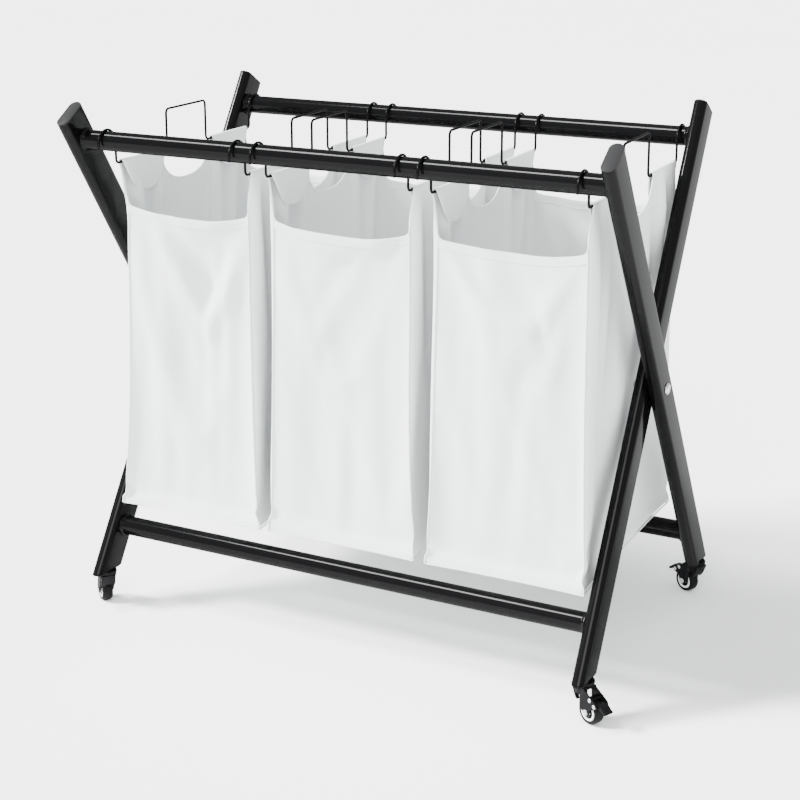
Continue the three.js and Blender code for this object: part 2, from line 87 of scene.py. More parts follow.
# ---------- places taken from the frame ----------
PIVOT = Vector(JOINTS["frame_fold"]["pos_m"])
FOOT_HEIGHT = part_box("inner_leg_foot_plug_left")[0][2]
LEG_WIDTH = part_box("outer_leg_left")[1][0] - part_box("outer_leg_left")[0][0]
BAR_CENTRES = {node: centre(node) for node in
               ("front_top_bar", "rear_top_bar", "front_bottom_bar", "rear_bottom_bar")}
TOP_BAR = BAR_CENTRES["rear_top_bar"]


# ---------- sizes and colours that a user would change ----------
def length(name, description, default):
    """A length in metres."""
    return bpy.props.FloatProperty(name=name, description=description, default=default,
                                   min=0.0, precision=4, unit="LENGTH", subtype="DISTANCE")


def colour(name, description, default):
    return bpy.props.FloatVectorProperty(name=name, description=description, default=default,
                                         size=3, min=0.0, max=1.0, subtype="COLOR")


class SorterFrameSettings(bpy.types.PropertyGroup):
    """Sizes and colours of the tubes, plugs and pivots."""

    paint: colour("Paint", "Powder coat of the tubes and wires", (0.0022, 0.0022, 0.0024))
    plug: colour("Plug", "Plastic plugs in the tops of the legs", (0.02, 0.02, 0.0205))
    leg_depth: length("Leg depth", "Flat-oval leg, across its length", 0.047)
    leg_reach: length("Leg reach", "Pivot to the top end of a leg", 0.388)
    leg_wall: length("Leg wall", "Wall of the leg tube", 0.0012)
    bar_radius: length("Bar radius", "Round cross bars", 0.013)
    weld_flare: length("Weld flare", "Weld beyond the bar's radius", 0.0024)
    weld_length: length("Weld length", "Weld along the bar", 0.0048)
    bolt_radius: length("Bolt head", "Domed head of the pivot bolt", 0.0075)


class SorterCasterSettings(bpy.types.PropertyGroup):
    """Sizes and colours of the casters."""

    plastic: colour("Plastic", "Forks and brake pedals", (0.004, 0.004, 0.0045))
    rubber: colour("Rubber", "Tyres", (0.006, 0.006, 0.006))
    centre_plastic: colour("Wheel centre", "Plastic of the wheel centres", (0.78, 0.8, 0.8))
    wheel_radius: length("Wheel radius", "Over the tyre", 0.016)
    tyre_width: length("Tyre width", "Along the axle", 0.015)
    rim_radius: length("Rim radius", "Wheel centre inside the tyre", 0.0114)
    fork_plate: length("Fork plate", "Thickness of a fork's side", 0.0016)
    cup_radius: length("Cup radius", "Swivel cup under the leg", 0.0135)


class SorterFabricSettings(bpy.types.PropertyGroup):
    """Cut, drape and colour of the bags."""

    white: colour("White", "Colour of the cloth", (0.70, 0.722, 0.722))
    thickness: length("Thickness", "Cloth", 0.0009)
    hem: length("Hem", "Folded hem along the front and rear", 0.011)
    seam: length("Seam", "Radius of the corner seams", 0.0011)
    ease: bpy.props.FloatProperty(name="Ease", description="Extra cloth, as a share of its size",
                                  default=0.02, min=0.0, max=0.1, subtype="FACTOR")
    frames: bpy.props.IntProperty(name="Drape steps", description="Steps of the drape", default=36,
                                  min=1, max=120)


class SorterStageSettings(bpy.types.PropertyGroup):
    """Floor, lights and camera."""

    floor: colour("Floor", "Plain floor", (0.96, 0.96, 0.96))
    key: bpy.props.FloatProperty(name="Key light", description="Strength of the large soft light",
                                 default=12.5, min=0.0)
    sky: bpy.props.FloatProperty(name="Studio", description="Strength of the light from all round",
                                 default=1.3, min=0.0)
    lens: bpy.props.FloatProperty(name="Lens", description="Focal length", default=73.6, min=1.0,
                                  subtype="DISTANCE_CAMERA")


def settings(name):
    return getattr(bpy.context.scene, f"sorter_{name}")


# ---------- meshes from rings of points ----------
def skin(rings, joined=False):
    """Vertices and faces through rings of equal count. Joined rings close on themselves, others get caps."""
    count = len(rings[0])
    vertices = [point for ring in rings for point in ring]
    faces = []
    for i in range(len(rings) if joined else len(rings) - 1):
        near, far = i * count, (i + 1) % len(rings) * count
        for j in range(count):
            k = (j + 1) % count
            faces.append((near + j, near + k, far + k, far + j))
    if not joined:
        faces.append(tuple(reversed(range(count))))
        faces.append(tuple(range(len(vertices) - count, len(vertices))))
    return vertices, faces


def mesh_of(name, vertices, faces, sharp=35.0):
    """A smooth-shaded mesh with outward normals and sharp edges past an angle."""
    mesh = bpy.data.meshes.new(name)
    mesh.from_pydata([tuple(vertex) for vertex in vertices], [], faces)
    return tidy_normals(mesh, sharp)


def tidy_normals(mesh, sharp=35.0):
    work = bmesh.new()
    work.from_mesh(mesh)
    bmesh.ops.recalc_face_normals(work, faces=work.faces)
    work.to_mesh(mesh)
    work.free()
    mesh.shade_smooth()
    mesh.set_sharp_from_angle(angle=math.radians(sharp))
    return mesh


def circle(radius, steps=32, lobes=0, depth=0.0):
    """Points of a circle in two dimensions, waved in and out when it has lobes."""
    points = []
    for i in range(steps):
        angle = 2 * math.pi * i / steps
        reach = radius * (1 + depth * math.cos(lobes * angle))
        points.append((reach * math.cos(angle), reach * math.sin(angle)))
    return points


def lathe(profile, steps=32, lobes=0, depth=0.0):
    """Rings round Z through (radius, height) points. A radius of 0 closes the end."""
    rings = []
    for radius, height in profile:
        ring = circle(max(radius, 1e-6), steps, lobes, depth)
        rings.append([Vector((x, y, height)) for x, y in ring])
    return rings


def rounded(profile, radius=0.0004, steps=3):
    """The same profile with each inner corner replaced by a short arc."""
    result = [profile[0]]
    for before, corner, after in zip(profile, profile[1:], profile[2:]):
        here = Vector(corner)
        back, ahead = Vector(before) - here, Vector(after) - here
        reach = min(radius, back.length * 0.45, ahead.length * 0.45)
        start, end = here + back.normalized() * reach, here + ahead.normalized() * reach
        for i in range(steps + 1):
            t = i / steps
            result.append(tuple(start * (1 - t) ** 2 + here * 2 * t * (1 - t) + end * t * t))
    result.append(profile[-1])
    return result


def outline_plate(outline, low, high):
    """A flat plate: an outline of (x, z) points, between two places along Y."""
    return skin([[Vector((x, y, z)) for x, z in outline] for y in (low, high)])


def moved(rings, matrix):
    return [[matrix @ point for point in ring] for ring in rings]


def arc(x, z, radius, start, end, steps=8):
    """Points of an arc about (x, z), with angles in degrees."""
    angles = [math.radians(start + (end - start) * i / steps) for i in range(steps + 1)]
    return [(x + radius * math.cos(angle), z + radius * math.sin(angle)) for angle in angles]


# ---------- objects ----------
def loose_object(name, mesh):
    made = bpy.data.objects.new(name, mesh)
    bpy.context.scene.collection.objects.link(made)
    return made


def finish_node(node, mesh, matrix=None):
    """The finished piece that stands for a frame node: same body, same material slot."""
    if matrix is not None:
        mesh.transform(matrix)
        if matrix.determinant() < 0:
            mesh.flip_normals()
    piece = loose_object(f"{node}_finished", mesh)
    mesh.materials.append(material_for(SLOT_OF[node]))
    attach(piece, BODY_OF[node])
    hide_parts(node)
    return piece


def settle(made, sharp=None):
    """Makes an object's modifiers part of its mesh."""
    bpy.context.view_layer.update()
    shape = made.evaluated_get(bpy.context.evaluated_depsgraph_get())
    mesh = bpy.data.meshes.new_from_object(shape)
    made.modifiers.clear()
    made.data = mesh
    if sharp is not None:
        tidy_normals(mesh, sharp)
    return made


def combine(base, others, operation):
    """Joins or cuts solids, and returns the mesh that is left."""
    made = loose_object("work", base)
    tools = [loose_object("tool", other) for other in others]
    for tool in tools:
        modifier = made.modifiers.new("solid", "BOOLEAN")
        modifier.operation = operation
        modifier.solver = "EXACT"
        modifier.object = tool
    mesh = settle(made).data
    for used in [made, *tools]:
        bpy.data.objects.remove(used)
    return mesh


def softened(mesh, width, sharp=35.0):
    """The mesh with its hard edges slightly rounded."""
    made = loose_object("work", mesh)
    bevel = made.modifiers.new("edges", "BEVEL")
    bevel.width = width
    bevel.segments = 2
    bevel.limit_method = "ANGLE"
    bevel.angle_limit = math.radians(sharp)
    result = settle(made, sharp).data
    bpy.data.objects.remove(made)
    return result


# ---------- node groups ----------
THREADS_PER_METRE = 1100.0


def node_group(name, inputs, outputs):
    """An empty shader group with its sockets. Each input is (name, type, default)."""
    group = bpy.data.node_groups.new(name, "ShaderNodeTree")
    for label, kind, default in inputs:
        socket = group.interface.new_socket(name=label, in_out="INPUT", socket_type=kind)
        if default is not None:
            socket.default_value = default
    for label, kind in outputs:
        group.interface.new_socket(name=label, in_out="OUTPUT", socket_type=kind)
    return group, group.nodes.new("NodeGroupInput"), group.nodes.new("NodeGroupOutput")


def surface_grain_group():
    """Fine grain and broad patches, for paint, plastic, rubber and metal."""
    if "surface grain" in bpy.data.node_groups:
        return bpy.data.node_groups["surface grain"]
    group, source, sink = node_group(
        "surface grain",
        [("Position", "NodeSocketVector", None), ("Grain Scale", "NodeSocketFloat", 900.0),
         ("Patch Scale", "NodeSocketFloat", 14.0), ("Low", "NodeSocketFloat", 0.2),
         ("High", "NodeSocketFloat", 0.3)],
        [("Height", "NodeSocketFloat"), ("Patches", "NodeSocketFloat")])
    grain = group.nodes.new("ShaderNodeTexNoise")
    grain.inputs["Detail"].default_value = 3.0
    patches = group.nodes.new("ShaderNodeTexNoise")
    patches.inputs["Detail"].default_value = 4.0
    spread = group.nodes.new("ShaderNodeMapRange")
    spread.inputs["From Min"].default_value = 0.3
    spread.inputs["From Max"].default_value = 0.7
    link = group.links.new
    for texture, scale in ((grain, "Grain Scale"), (patches, "Patch Scale")):
        link(source.outputs["Position"], texture.inputs["Vector"])
        link(source.outputs[scale], texture.inputs["Scale"])
    link(patches.outputs["Fac"], spread.inputs["Value"])
    link(source.outputs["Low"], spread.inputs["To Min"])
    link(source.outputs["High"], spread.inputs["To Max"])
    link(grain.outputs["Fac"], sink.inputs["Height"])
    link(spread.outputs["Result"], sink.inputs["Patches"])
    return group


def woven_cloth_group():
    """Threads that cross, with slubs along both directions, on a map laid out in metres."""
    if "woven cloth" in bpy.data.node_groups:
        return bpy.data.node_groups["woven cloth"]
    group, source, sink = node_group(
        "woven cloth",
        [("Map", "NodeSocketVector", None), ("Threads per Metre", "NodeSocketFloat", THREADS_PER_METRE),
         ("Slub", "NodeSocketFloat", 0.5)],
        [("Height", "NodeSocketFloat"), ("Shade", "NodeSocketFloat")])
    link = group.links.new
    scaled = group.nodes.new("ShaderNodeVectorMath")
    scaled.operation = "SCALE"
    link(source.outputs["Map"], scaled.inputs[0])
    link(source.outputs["Threads per Metre"], scaled.inputs["Scale"])
    heights, shades = [], []
    for direction, stretch in (("X", (1.0, 0.04, 1.0)), ("Y", (0.04, 1.0, 1.0))):
        thread = group.nodes.new("ShaderNodeTexWave")
        thread.bands_direction = direction
        thread.inputs["Scale"].default_value = 0.314
        thread.inputs["Distortion"].default_value = 0.6
        link(scaled.outputs["Vector"], thread.inputs["Vector"])
        heights.append(thread.outputs["Fac"])
        long_way = group.nodes.new("ShaderNodeMapping")
        long_way.inputs["Scale"].default_value = stretch
        link(scaled.outputs["Vector"], long_way.inputs["Vector"])
        slub = group.nodes.new("ShaderNodeTexNoise")
        slub.inputs["Scale"].default_value = 0.35
        slub.inputs["Detail"].default_value = 2.0
        link(long_way.outputs["Vector"], slub.inputs["Vector"])
        shades.append(slub.outputs["Fac"])
    crossing = maths(group, "ADD", *heights)
    slubs = maths(group, "ADD", *shades)
    raised = maths(group, "MULTIPLY", slubs, source.outputs["Slub"])
    link(maths(group, "ADD", crossing, raised), sink.inputs["Height"])
    link(maths(group, "MULTIPLY", slubs, 0.5), sink.inputs["Shade"])
    return group


def maths(tree, operation, first, second):
    """A Math node's output, with sockets or numbers as its inputs."""
    node = tree.nodes.new("ShaderNodeMath")
    node.operation = operation
    for socket, value in zip(node.inputs, (first, second)):
        if isinstance(value, (int, float)):
            socket.default_value = value
        else:
            tree.links.new(value, socket)
    return node.outputs["Value"]


# ---------- materials ----------
def new_material(name, base, roughness, metallic=0.0, specular=0.5, **more):
    """A material with its shader's constant values set, and the shader and tree to add to."""
    material = bpy.data.materials.new(name)
    material.use_nodes = True
    shader = material.node_tree.nodes["Principled BSDF"]
    shader.inputs["Base Color"].default_value = (*base, 1.0)
    shader.inputs["Roughness"].default_value = roughness
    shader.inputs["Metallic"].default_value = metallic
    shader.inputs["Specular IOR Level"].default_value = specular
    for socket, value in more.items():
        shader.inputs[socket.replace("_", " ").title()].default_value = value
    return material, shader, material.node_tree


def grained(name, base, roughness, metallic=0.0, grain=900.0, patch=14.0, bump=0.05, **more):
    """A material with fine grain in its surface and roughness that drifts from low to high."""
    material, shader, tree = new_material(name, base, roughness[0], metallic, **more)
    group = tree.nodes.new("ShaderNodeGroup")
    group.node_tree = surface_grain_group()
    group.inputs["Grain Scale"].default_value = grain
    group.inputs["Patch Scale"].default_value = patch
    group.inputs["Low"].default_value, group.inputs["High"].default_value = roughness
    place = tree.nodes.new("ShaderNodeTexCoord")
    relief = tree.nodes.new("ShaderNodeBump")
    relief.inputs["Strength"].default_value = bump
    relief.inputs["Distance"].default_value = 0.0004
    link = tree.links.new
    link(place.outputs["Object"], group.inputs["Position"])
    link(group.outputs["Height"], relief.inputs["Height"])
    link(group.outputs["Patches"], shader.inputs["Roughness"])
    link(relief.outputs["Normal"], shader.inputs["Normal"])
    return material


def cloth_material():
    """White woven polyester: fine threads, slight slubs, a soft sheen."""
    fabric = settings("fabric")
    material, shader, tree = new_material(
        "white woven cloth", fabric.white, 0.72, specular=0.3, sheen_weight=0.25, sheen_roughness=0.5)
    group = tree.nodes.new("ShaderNodeGroup")
    group.node_tree = woven_cloth_group()
    group.inputs["Threads per Metre"].default_value = THREADS_PER_METRE
    group.inputs["Slub"].default_value = 0.5
    layout = tree.nodes.new("ShaderNodeUVMap")
    layout.uv_map = "cut"
    tint = tree.nodes.new("ShaderNodeMix")
    tint.data_type = "RGBA"
    white = Vector(fabric.white)
    tint.inputs["A"].default_value = (*(white * 0.94), 1.0)
    tint.inputs["B"].default_value = (*(white * 1.03), 1.0)
    relief = tree.nodes.new("ShaderNodeBump")
    relief.inputs["Strength"].default_value = 0.22
    relief.inputs["Distance"].default_value = 0.0003
    link = tree.links.new
    link(layout.outputs["UV"], group.inputs["Map"])
    link(group.outputs["Shade"], tint.inputs["Factor"])
    link(tint.outputs["Result"], shader.inputs["Base Color"])
    link(group.outputs["Height"], relief.inputs["Height"])
    link(relief.outputs["Normal"], shader.inputs["Normal"])
    return material


def material_for(slot):
    """The finish of a material slot, built the first time it is asked for."""
    if f"{slot}_finish" in bpy.data.materials:
        return bpy.data.materials[f"{slot}_finish"]
    steel = settings("frame")
    caster = settings("casters")
    if slot == "frame_paint":
        made = grained(slot, steel.paint, (0.3, 0.4), grain=650.0, bump=0.015, specular=0.0,
                       coat_weight=0.16, coat_roughness=0.11)
    elif slot == "wire_paint":
        made = grained(slot, steel.paint, (0.3, 0.4), grain=1200.0, bump=0.03, specular=0.0,
                       coat_weight=0.12, coat_roughness=0.2)
    elif slot == "dark_plastic":
        made = grained(slot, steel.plug, (0.34, 0.44), grain=1500.0, bump=0.12, specular=0.03)
    elif slot == "black_plastic":
        made = grained(slot, caster.plastic, (0.24, 0.36), grain=1500.0, patch=60.0, bump=0.08, specular=0.0,
                       coat_weight=0.14, coat_roughness=0.22)
    elif slot == "tyre_rubber":
        made = grained(slot, caster.rubber, (0.42, 0.58), grain=2200.0, patch=80.0, bump=0.15, specular=0.05)
    elif slot == "wheel_plastic":
        made = grained(slot, caster.centre_plastic, (0.35, 0.45), grain=1500.0, patch=80.0)
    elif slot == "bright_steel":
        made = grained(slot, (0.5, 0.5, 0.51), (0.2, 0.34), metallic=1.0, patch=120.0)
    else:
        made = cloth_material()
    made.name = f"{slot}_finish"
    return made


# ---------- legs ----------
def leg_axes(kind):
    """Local axes of a leg frame: X along the bars, Z up the leg, the pivot at the origin."""
    names = ("front_top_bar", "rear_bottom_bar") if kind == "outer" else ("rear_top_bar", "front_bottom_bar")
    along = (BAR_CENTRES[names[0]] - BAR_CENTRES[names[1]]).normalized()
    across = along.cross(Vector((1, 0, 0)))
    return Matrix((
        (1, 0, 0, PIVOT.x),
        (0, across.y, along.y, PIVOT.y),
        (0, across.z, along.z, PIVOT.z),
        (0, 0, 0, 1),
    ))


def oval(width, depth, inset, steps=14):
    """The flat-oval section of a leg, with a wall's inset."""
    radius, end = width / 2 - inset, (depth - width) / 2
    return arc(0, end, radius, 0, 180, steps) + arc(0, -end, radius, 180, 360, steps)


class LegShape:
    """Rings of one leg's section, at a place along the leg or at a height above the floor."""

    def __init__(self, kind, end):
        self.axes = leg_axes(kind)
        self.middle = centre(f"{kind}_leg_{end}").x
        self.depth = settings("frame").leg_depth

    def at(self, along, inset=0.0):
        points = oval(LEG_WIDTH, self.depth, inset)
        return [self.axes @ Vector((self.middle + x, y, along)) for x, y in points]

    def level(self, height, inset=0.0):
        ring = []
        for point in self.at(0.0, inset):
            rise = (height - point.z) / self.axes[2][2]
            ring.append(point + self.axes.to_3x3() @ Vector((0, 0, rise)))
        return ring


PLUG_PLATE = 0.002
PLUG_INSERT = 0.014
FOOT_INSERT = 0.024
INSERT_SLACK = 0.0004
STEM_BORE = 0.0044
TUBE_RIM = 0.0004
GAP = 0.0003


def leg_tube(shape):
    """An open tube with softened rims."""
    frame_settings = settings("frame")
    top = frame_settings.leg_reach - PLUG_PLATE - GAP
    foot = FOOT_HEIGHT + PLUG_PLATE + GAP
    wall, edge = frame_settings.leg_wall, TUBE_RIM
    rings = [shape.at(top, wall), shape.at(top, edge), shape.at(top - edge)]
    rings += [shape.level(foot + edge), shape.level(foot, edge), shape.level(foot, wall)]
    return mesh_of("leg tube", *skin(rings, joined=True))


def top_plug(shape):
    """A flat cap with a rounded rim, on an insert that fills the tube."""
    top = settings("frame").leg_reach
    inside = settings("frame").leg_wall + INSERT_SLACK
    rings = [shape.at(top - PLUG_PLATE - PLUG_INSERT, inside), shape.at(top - PLUG_PLATE, inside),
             shape.at(top - PLUG_PLATE)]
    for drop, inset in ((0.0007, 0.0), (0.00025, 0.0002), (0.0, 0.0007)):
        rings.append(shape.at(top - drop, inset))
    return mesh_of("top plug", *skin(rings))


def foot_plug(shape, stem):
    """A level sole plate on an insert, bored for the caster's stem."""
    inside = settings("frame").leg_wall + INSERT_SLACK
    sole = FOOT_HEIGHT
    rings = [shape.level(sole, 0.0007), shape.level(sole + 0.0003, 0.0002), shape.level(sole + 0.0007),
             shape.level(sole + PLUG_PLATE), shape.level(sole + PLUG_PLATE, inside),
             shape.level(sole + PLUG_PLATE + FOOT_INSERT, inside)]
    plug = mesh_of("foot plug", *skin(rings))
    bore = lathe([(STEM_BORE, sole - 0.01), (STEM_BORE, sole + 0.05)], 24)
    cutter = mesh_of("bore", *skin(moved(bore, Matrix.Translation((stem.x, stem.y, 0)))))
    return tidy_normals(combine(plug, [cutter], "DIFFERENCE"))


def stem_place(corner):
    """Where a caster's swivel axis meets the floor."""
    place = Vector(JOINTS[f"swivel_{corner}"]["pos_m"])
    return Vector((place.x, place.y, 0))


class SORTER_OT_legs(bpy.types.Operator):
    """Build the four flat-oval legs with their top and foot plugs"""

    bl_idname = "sorter.legs"
    bl_label = "Legs and Plugs"

    def execute(self, context):
        for kind, foot in (("outer", "rear"), ("inner", "front")):
            for end, _side in ENDS:
                shape = LegShape(kind, end)
                stem = stem_place(f"{foot}_{end}")
                finish_node(f"{kind}_leg_{end}", leg_tube(shape))
                finish_node(f"{kind}_leg_top_plug_{end}", top_plug(shape))
                finish_node(f"{kind}_leg_foot_plug_{end}", foot_plug(shape, stem))
        return {"FINISHED"}


# ---------- bars ----------
BAR_CHAMFER = 0.0006
WELD_STEPS = 5
WELD_RIPPLES = 17
WELD_RIPPLE = 0.00022


def bar_rings(node):
    """A round bar whose ends flare into slightly rippled welds."""
    steel = settings("frame")
    place = BAR_CENTRES[node]
    half = (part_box(node)[1][0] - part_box(node)[0][0]) / 2
    stations = [(half, 1.0), (half - BAR_CHAMFER, 1.0)]
    for i in range(1, WELD_STEPS + 1):
        t = i / WELD_STEPS
        reach = half - BAR_CHAMFER - (steel.weld_length - BAR_CHAMFER) * t
        stations.append((reach, 0.5 + 0.5 * math.cos(math.pi * t)))
    rings = []
    for x, flare in stations + [(-x, flare) for x, flare in reversed(stations)]:
        ring = []
        for y, z in circle(1.0, 64):
            ripple = WELD_RIPPLE * math.sin(WELD_RIPPLES * math.atan2(z, y)) * flare
            radius = steel.bar_radius + steel.weld_flare * flare + ripple
            ring.append(Vector((x, place.y + radius * y, place.z + radius * z)))
        rings.append(ring)
    return rings


class SORTER_OT_bars(bpy.types.Operator):
    """Build the four round cross bars with their welds"""

    bl_idname = "sorter.bars"
    bl_label = "Cross Bars"

    def execute(self, context):
        for node in BAR_CENTRES:
            finish_node(node, mesh_of("bar", *skin(bar_rings(node))))
        return {"FINISHED"}


# ---------- pivots ----------
BOLT_DOME = 0.0032
BOLT_SHANK = 0.004
WASHER_BORE = 0.0044
WASHER_RADIUS = 0.011


def bolt_profile(shank_end, head_face):
    """Half section of the pivot bolt along its axis: shank, domed head and a socket in its middle."""
    radius, height = settings("frame").bolt_radius, BOLT_DOME
    profile = [(0, shank_end), (0.0034, shank_end), (BOLT_SHANK, shank_end + 0.0006),
               (BOLT_SHANK, head_face), (radius, head_face)]
    for i in range(1, 10):
        angle = math.radians(9 * i)
        if radius * math.cos(angle) > 0.0026:
            profile.append((radius * math.cos(angle), head_face + height * math.sin(angle)))
    return profile + [(0.0024, head_face + 0.0028), (0.002, head_face + 0.0014), (0, head_face + 0.0012)]


class SORTER_OT_pivots(bpy.types.Operator):
    """Build the bolt, washer and closed nut at each end"""

    bl_idname = "sorter.pivots"
    bl_label = "Pivots"

    def execute(self, context):
        for end, side in ENDS:
            low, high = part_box(f"pivot_bolt_{end}")
            span = sorted((abs(low[0]), abs(high[0])))
            turn = Matrix.Translation(PIVOT) @ Matrix.Rotation(side * math.pi / 2, 4, "Y")
            bolt = bolt_profile(span[0], span[1] - BOLT_DOME)
            finish_node(f"pivot_bolt_{end}", mesh_of("bolt", *skin(lathe(bolt, 40))), turn)
            inner, outer = sorted(abs(corner[0]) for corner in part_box(f"pivot_washer_{end}"))
            ring = rounded([(WASHER_BORE, inner), (WASHER_RADIUS, inner), (WASHER_RADIUS, outer),
                            (WASHER_BORE, outer)], 0.0003)
            finish_node(f"pivot_washer_{end}", mesh_of("washer", *skin(lathe(ring, 40), joined=True)), turn)
            inner, outer = sorted(abs(corner[0]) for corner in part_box(f"pivot_nut_{end}"))
            body = [(0.0035, inner), (0.0048, inner + 0.0006), (0.0056, inner + 0.002),
                    (0.0063, inner + 0.0028), (0.0063, outer - 0.0005), (0.0058, outer),
                    (0.0044, outer), (0.0044, inner + 0.0018)]
            nut = lathe(body[:6], 6) + lathe(body[6:], 6)
            finish_node(f"pivot_nut_{end}", mesh_of("nut", *skin(nut)), turn)
        return {"FINISHED"}


# ---------- casters ----------
TRAIL = 0.015
CUP_HEIGHT = 0.0044
CROWN = 0.003
SIDE_GAP = 0.0006
PEDAL_PIN_REACH = 0.0198
BRAKE_PIN_ANGLE = 43.0
SPRING_PIN_ANGLE = 70.0
HOOD_DEPTH = 0.010
WEB_FOOT = 0.0105
KINGPIN_RADIUS = 0.003
KINGPIN_BORE = 0.0034
AXLE_RADIUS = 0.002
AXLE_BORE = 0.0024
BRAKE_PIN_RADIUS = 0.0015
BRAKE_PIN_BORE = 0.0019
PEDAL_HALF = 0.0065


def caster_axes(corner):
    """Local axes of a caster: the swivel axis is Z, and the wheel trails along X."""
    axle = JOINTS[f"roll_{corner}"]["axis"]
    return Matrix.Translation(stem_place(corner)) @ Matrix.Rotation(math.atan2(-axle[0], axle[1]), 4, "Z")


def is_braked(corner):
    return f"brake_{corner}" in JOINTS


def crown_top():
    return FOOT_HEIGHT - 2 * GAP - CUP_HEIGHT


def plate_faces():
    """Inner and outer face of a fork's side plate, from the middle of the wheel."""
    caster = settings("casters")
    inside = caster.tyre_width / 2 + SIDE_GAP
    return inside, inside + caster.fork_plate


def beside_tyre(degrees):
    """A place outside the tyre, at an angle round the axle, as (x, z)."""
    angle = math.radians(degrees)
    wheel = settings("casters").wheel_radius
    return TRAIL + PEDAL_PIN_REACH * math.cos(angle), wheel + PEDAL_PIN_REACH * math.sin(angle)


def second_finish(mesh, test):
    """Gives the faces whose middles pass a test the mesh's second material."""
    for polygon in mesh.polygons:
        if test(polygon.center):
            polygon.material_index = 1
    return mesh


def stem_mesh():
    """Stem, swivel cup with a rolled rim, kingpin and its riveted foot."""
    cup_radius = settings("casters").cup_radius
    cup = crown_top() + GAP
    foot = crown_top() - CROWN - GAP
    profile = [(0, foot - 0.002), (0.0036, foot - 0.002), (0.005, foot - 0.001), (0.005, foot),
               (KINGPIN_RADIUS, foot), (KINGPIN_RADIUS, cup), (cup_radius - 0.0012, cup),
               (cup_radius, cup + 0.001),
               (cup_radius, cup + CUP_HEIGHT - 0.0009), (cup_radius - 0.0008, cup + CUP_HEIGHT),
               (0.004, cup + CUP_HEIGHT), (0.004, FOOT_HEIGHT + 0.021), (0.0032, FOOT_HEIGHT + 0.022),
               (0, FOOT_HEIGHT + 0.022)]
    mesh = mesh_of("stem", *skin(lathe(rounded(profile, 0.0003), 40)))
    return second_finish(mesh, lambda place: place.z < FOOT_HEIGHT - GAP)


def fork_side(braked):
    """Outline of a fork's side plate."""
    wheel = settings("casters").wheel_radius
    top = crown_top() - 0.001
    outline = [(-0.010, top), (-0.0068, wheel + 0.0175), (-0.0028, wheel + WEB_FOOT),
               (0.0035, wheel + 0.004)]
    outline += arc(TRAIL, wheel, 0.0052, 190, 350, 12)
    if braked:
        x, z = beside_tyre(BRAKE_PIN_ANGLE)
        outline += [(TRAIL + 0.0075, wheel + 0.006)]
        outline += arc(x, z, 0.004, -80, 60, 8)
    else:
        outline += [(TRAIL + 0.0062, wheel + 0.006), (TRAIL + 0.004, wheel + 0.014)]
    return outline + [(0.0125, top - 0.0022), (0.011, top)]


def fork_mesh(braked):
    """Hood, side plates and front web in one moulding, with its edges softened."""
    inside, outside = plate_faces()
    radius = settings("casters").cup_radius
    plate = settings("casters").fork_plate
    top, crown = crown_top(), crown_top() - CROWN
    hood_end = crown - HOOD_DEPTH
    hood = rounded([(0, top), (radius - 0.0003, top), (outside, hood_end), (0, hood_end)], 0.0016, 5)
    plates = mesh_of("sides", *outline_plate(fork_side(braked), -outside, outside))
    fork = combine(mesh_of("hood", *skin(lathe(hood, 44))), [plates], "UNION")
    slot = [(-0.05, -0.01), (0.08, -0.01), (0.08, crown), (-0.05, crown)]
    hollow = lathe([(radius - 2 * plate, 0), (radius - 2 * plate, crown)], 32)
    cuts = [mesh_of("slot", *outline_plate(slot, -inside, inside)), mesh_of("hollow", *skin(hollow))]
    fork = combine(fork, cuts, "DIFFERENCE")
    foot = settings("casters").wheel_radius + WEB_FOOT
    web = [(1e-3 - radius, top - 0.001), (1e-3 - radius + plate, top - 0.001),
           (plate - 0.007, hood_end - 0.0005), (plate - 0.0026, foot), (-0.0028, foot),
           (-0.0072, hood_end - 0.0005)]
    fork = combine(fork, [mesh_of("web", *outline_plate(web, -inside - 0.001, inside + 0.001))], "UNION")
    bores = [lathe([(KINGPIN_BORE, 0), (KINGPIN_BORE, top + 0.01)], 24),
             lathe([(0.0054, 0), (0.0054, crown)], 24)]
    holes = [(TRAIL, settings("casters").wheel_radius, AXLE_BORE)]
    if braked:
        holes += [(*beside_tyre(angle), BRAKE_PIN_BORE) for angle in (BRAKE_PIN_ANGLE, SPRING_PIN_ANGLE)]
    for x, z, hole in holes:
        turn = Matrix.Translation((x, 0, z)) @ Matrix.Rotation(math.pi / 2, 4, "X")
        bores.append(moved(lathe([(hole, -0.02), (hole, 0.02)], 20), turn))
    fork = combine(fork, [mesh_of("bore", *skin(bore)) for bore in bores], "DIFFERENCE")
    return softened(fork, 0.00035)


def pin_mesh(radius, head, height, lobes=0, depth=0.0):
    """A cross pin with a domed head outside each plate, along Y."""
    face = plate_faces()[1] + GAP
    end = [(radius, face), (head, face), (head, face + height * 0.45), (head * 0.82, face + height * 0.85),
           (head * 0.45, face + height), (0, face + height)]
    profile = [(r, -h) for r, h in reversed(end)] + end
    rings = lathe(profile, 36)
    if lobes:
        for ring, (r, _height) in zip(rings, profile):
            if r > radius * 1.5:
                ring[:] = [Vector((x * r, y * r, ring[0].z)) for x, y in circle(1.0, 36, lobes, depth)]
    mesh = mesh_of("pin", *skin(moved(rings, Matrix.Rotation(math.pi / 2, 4, "X"))))
    return second_finish(mesh, lambda place: abs(place.y) < plate_faces()[0])


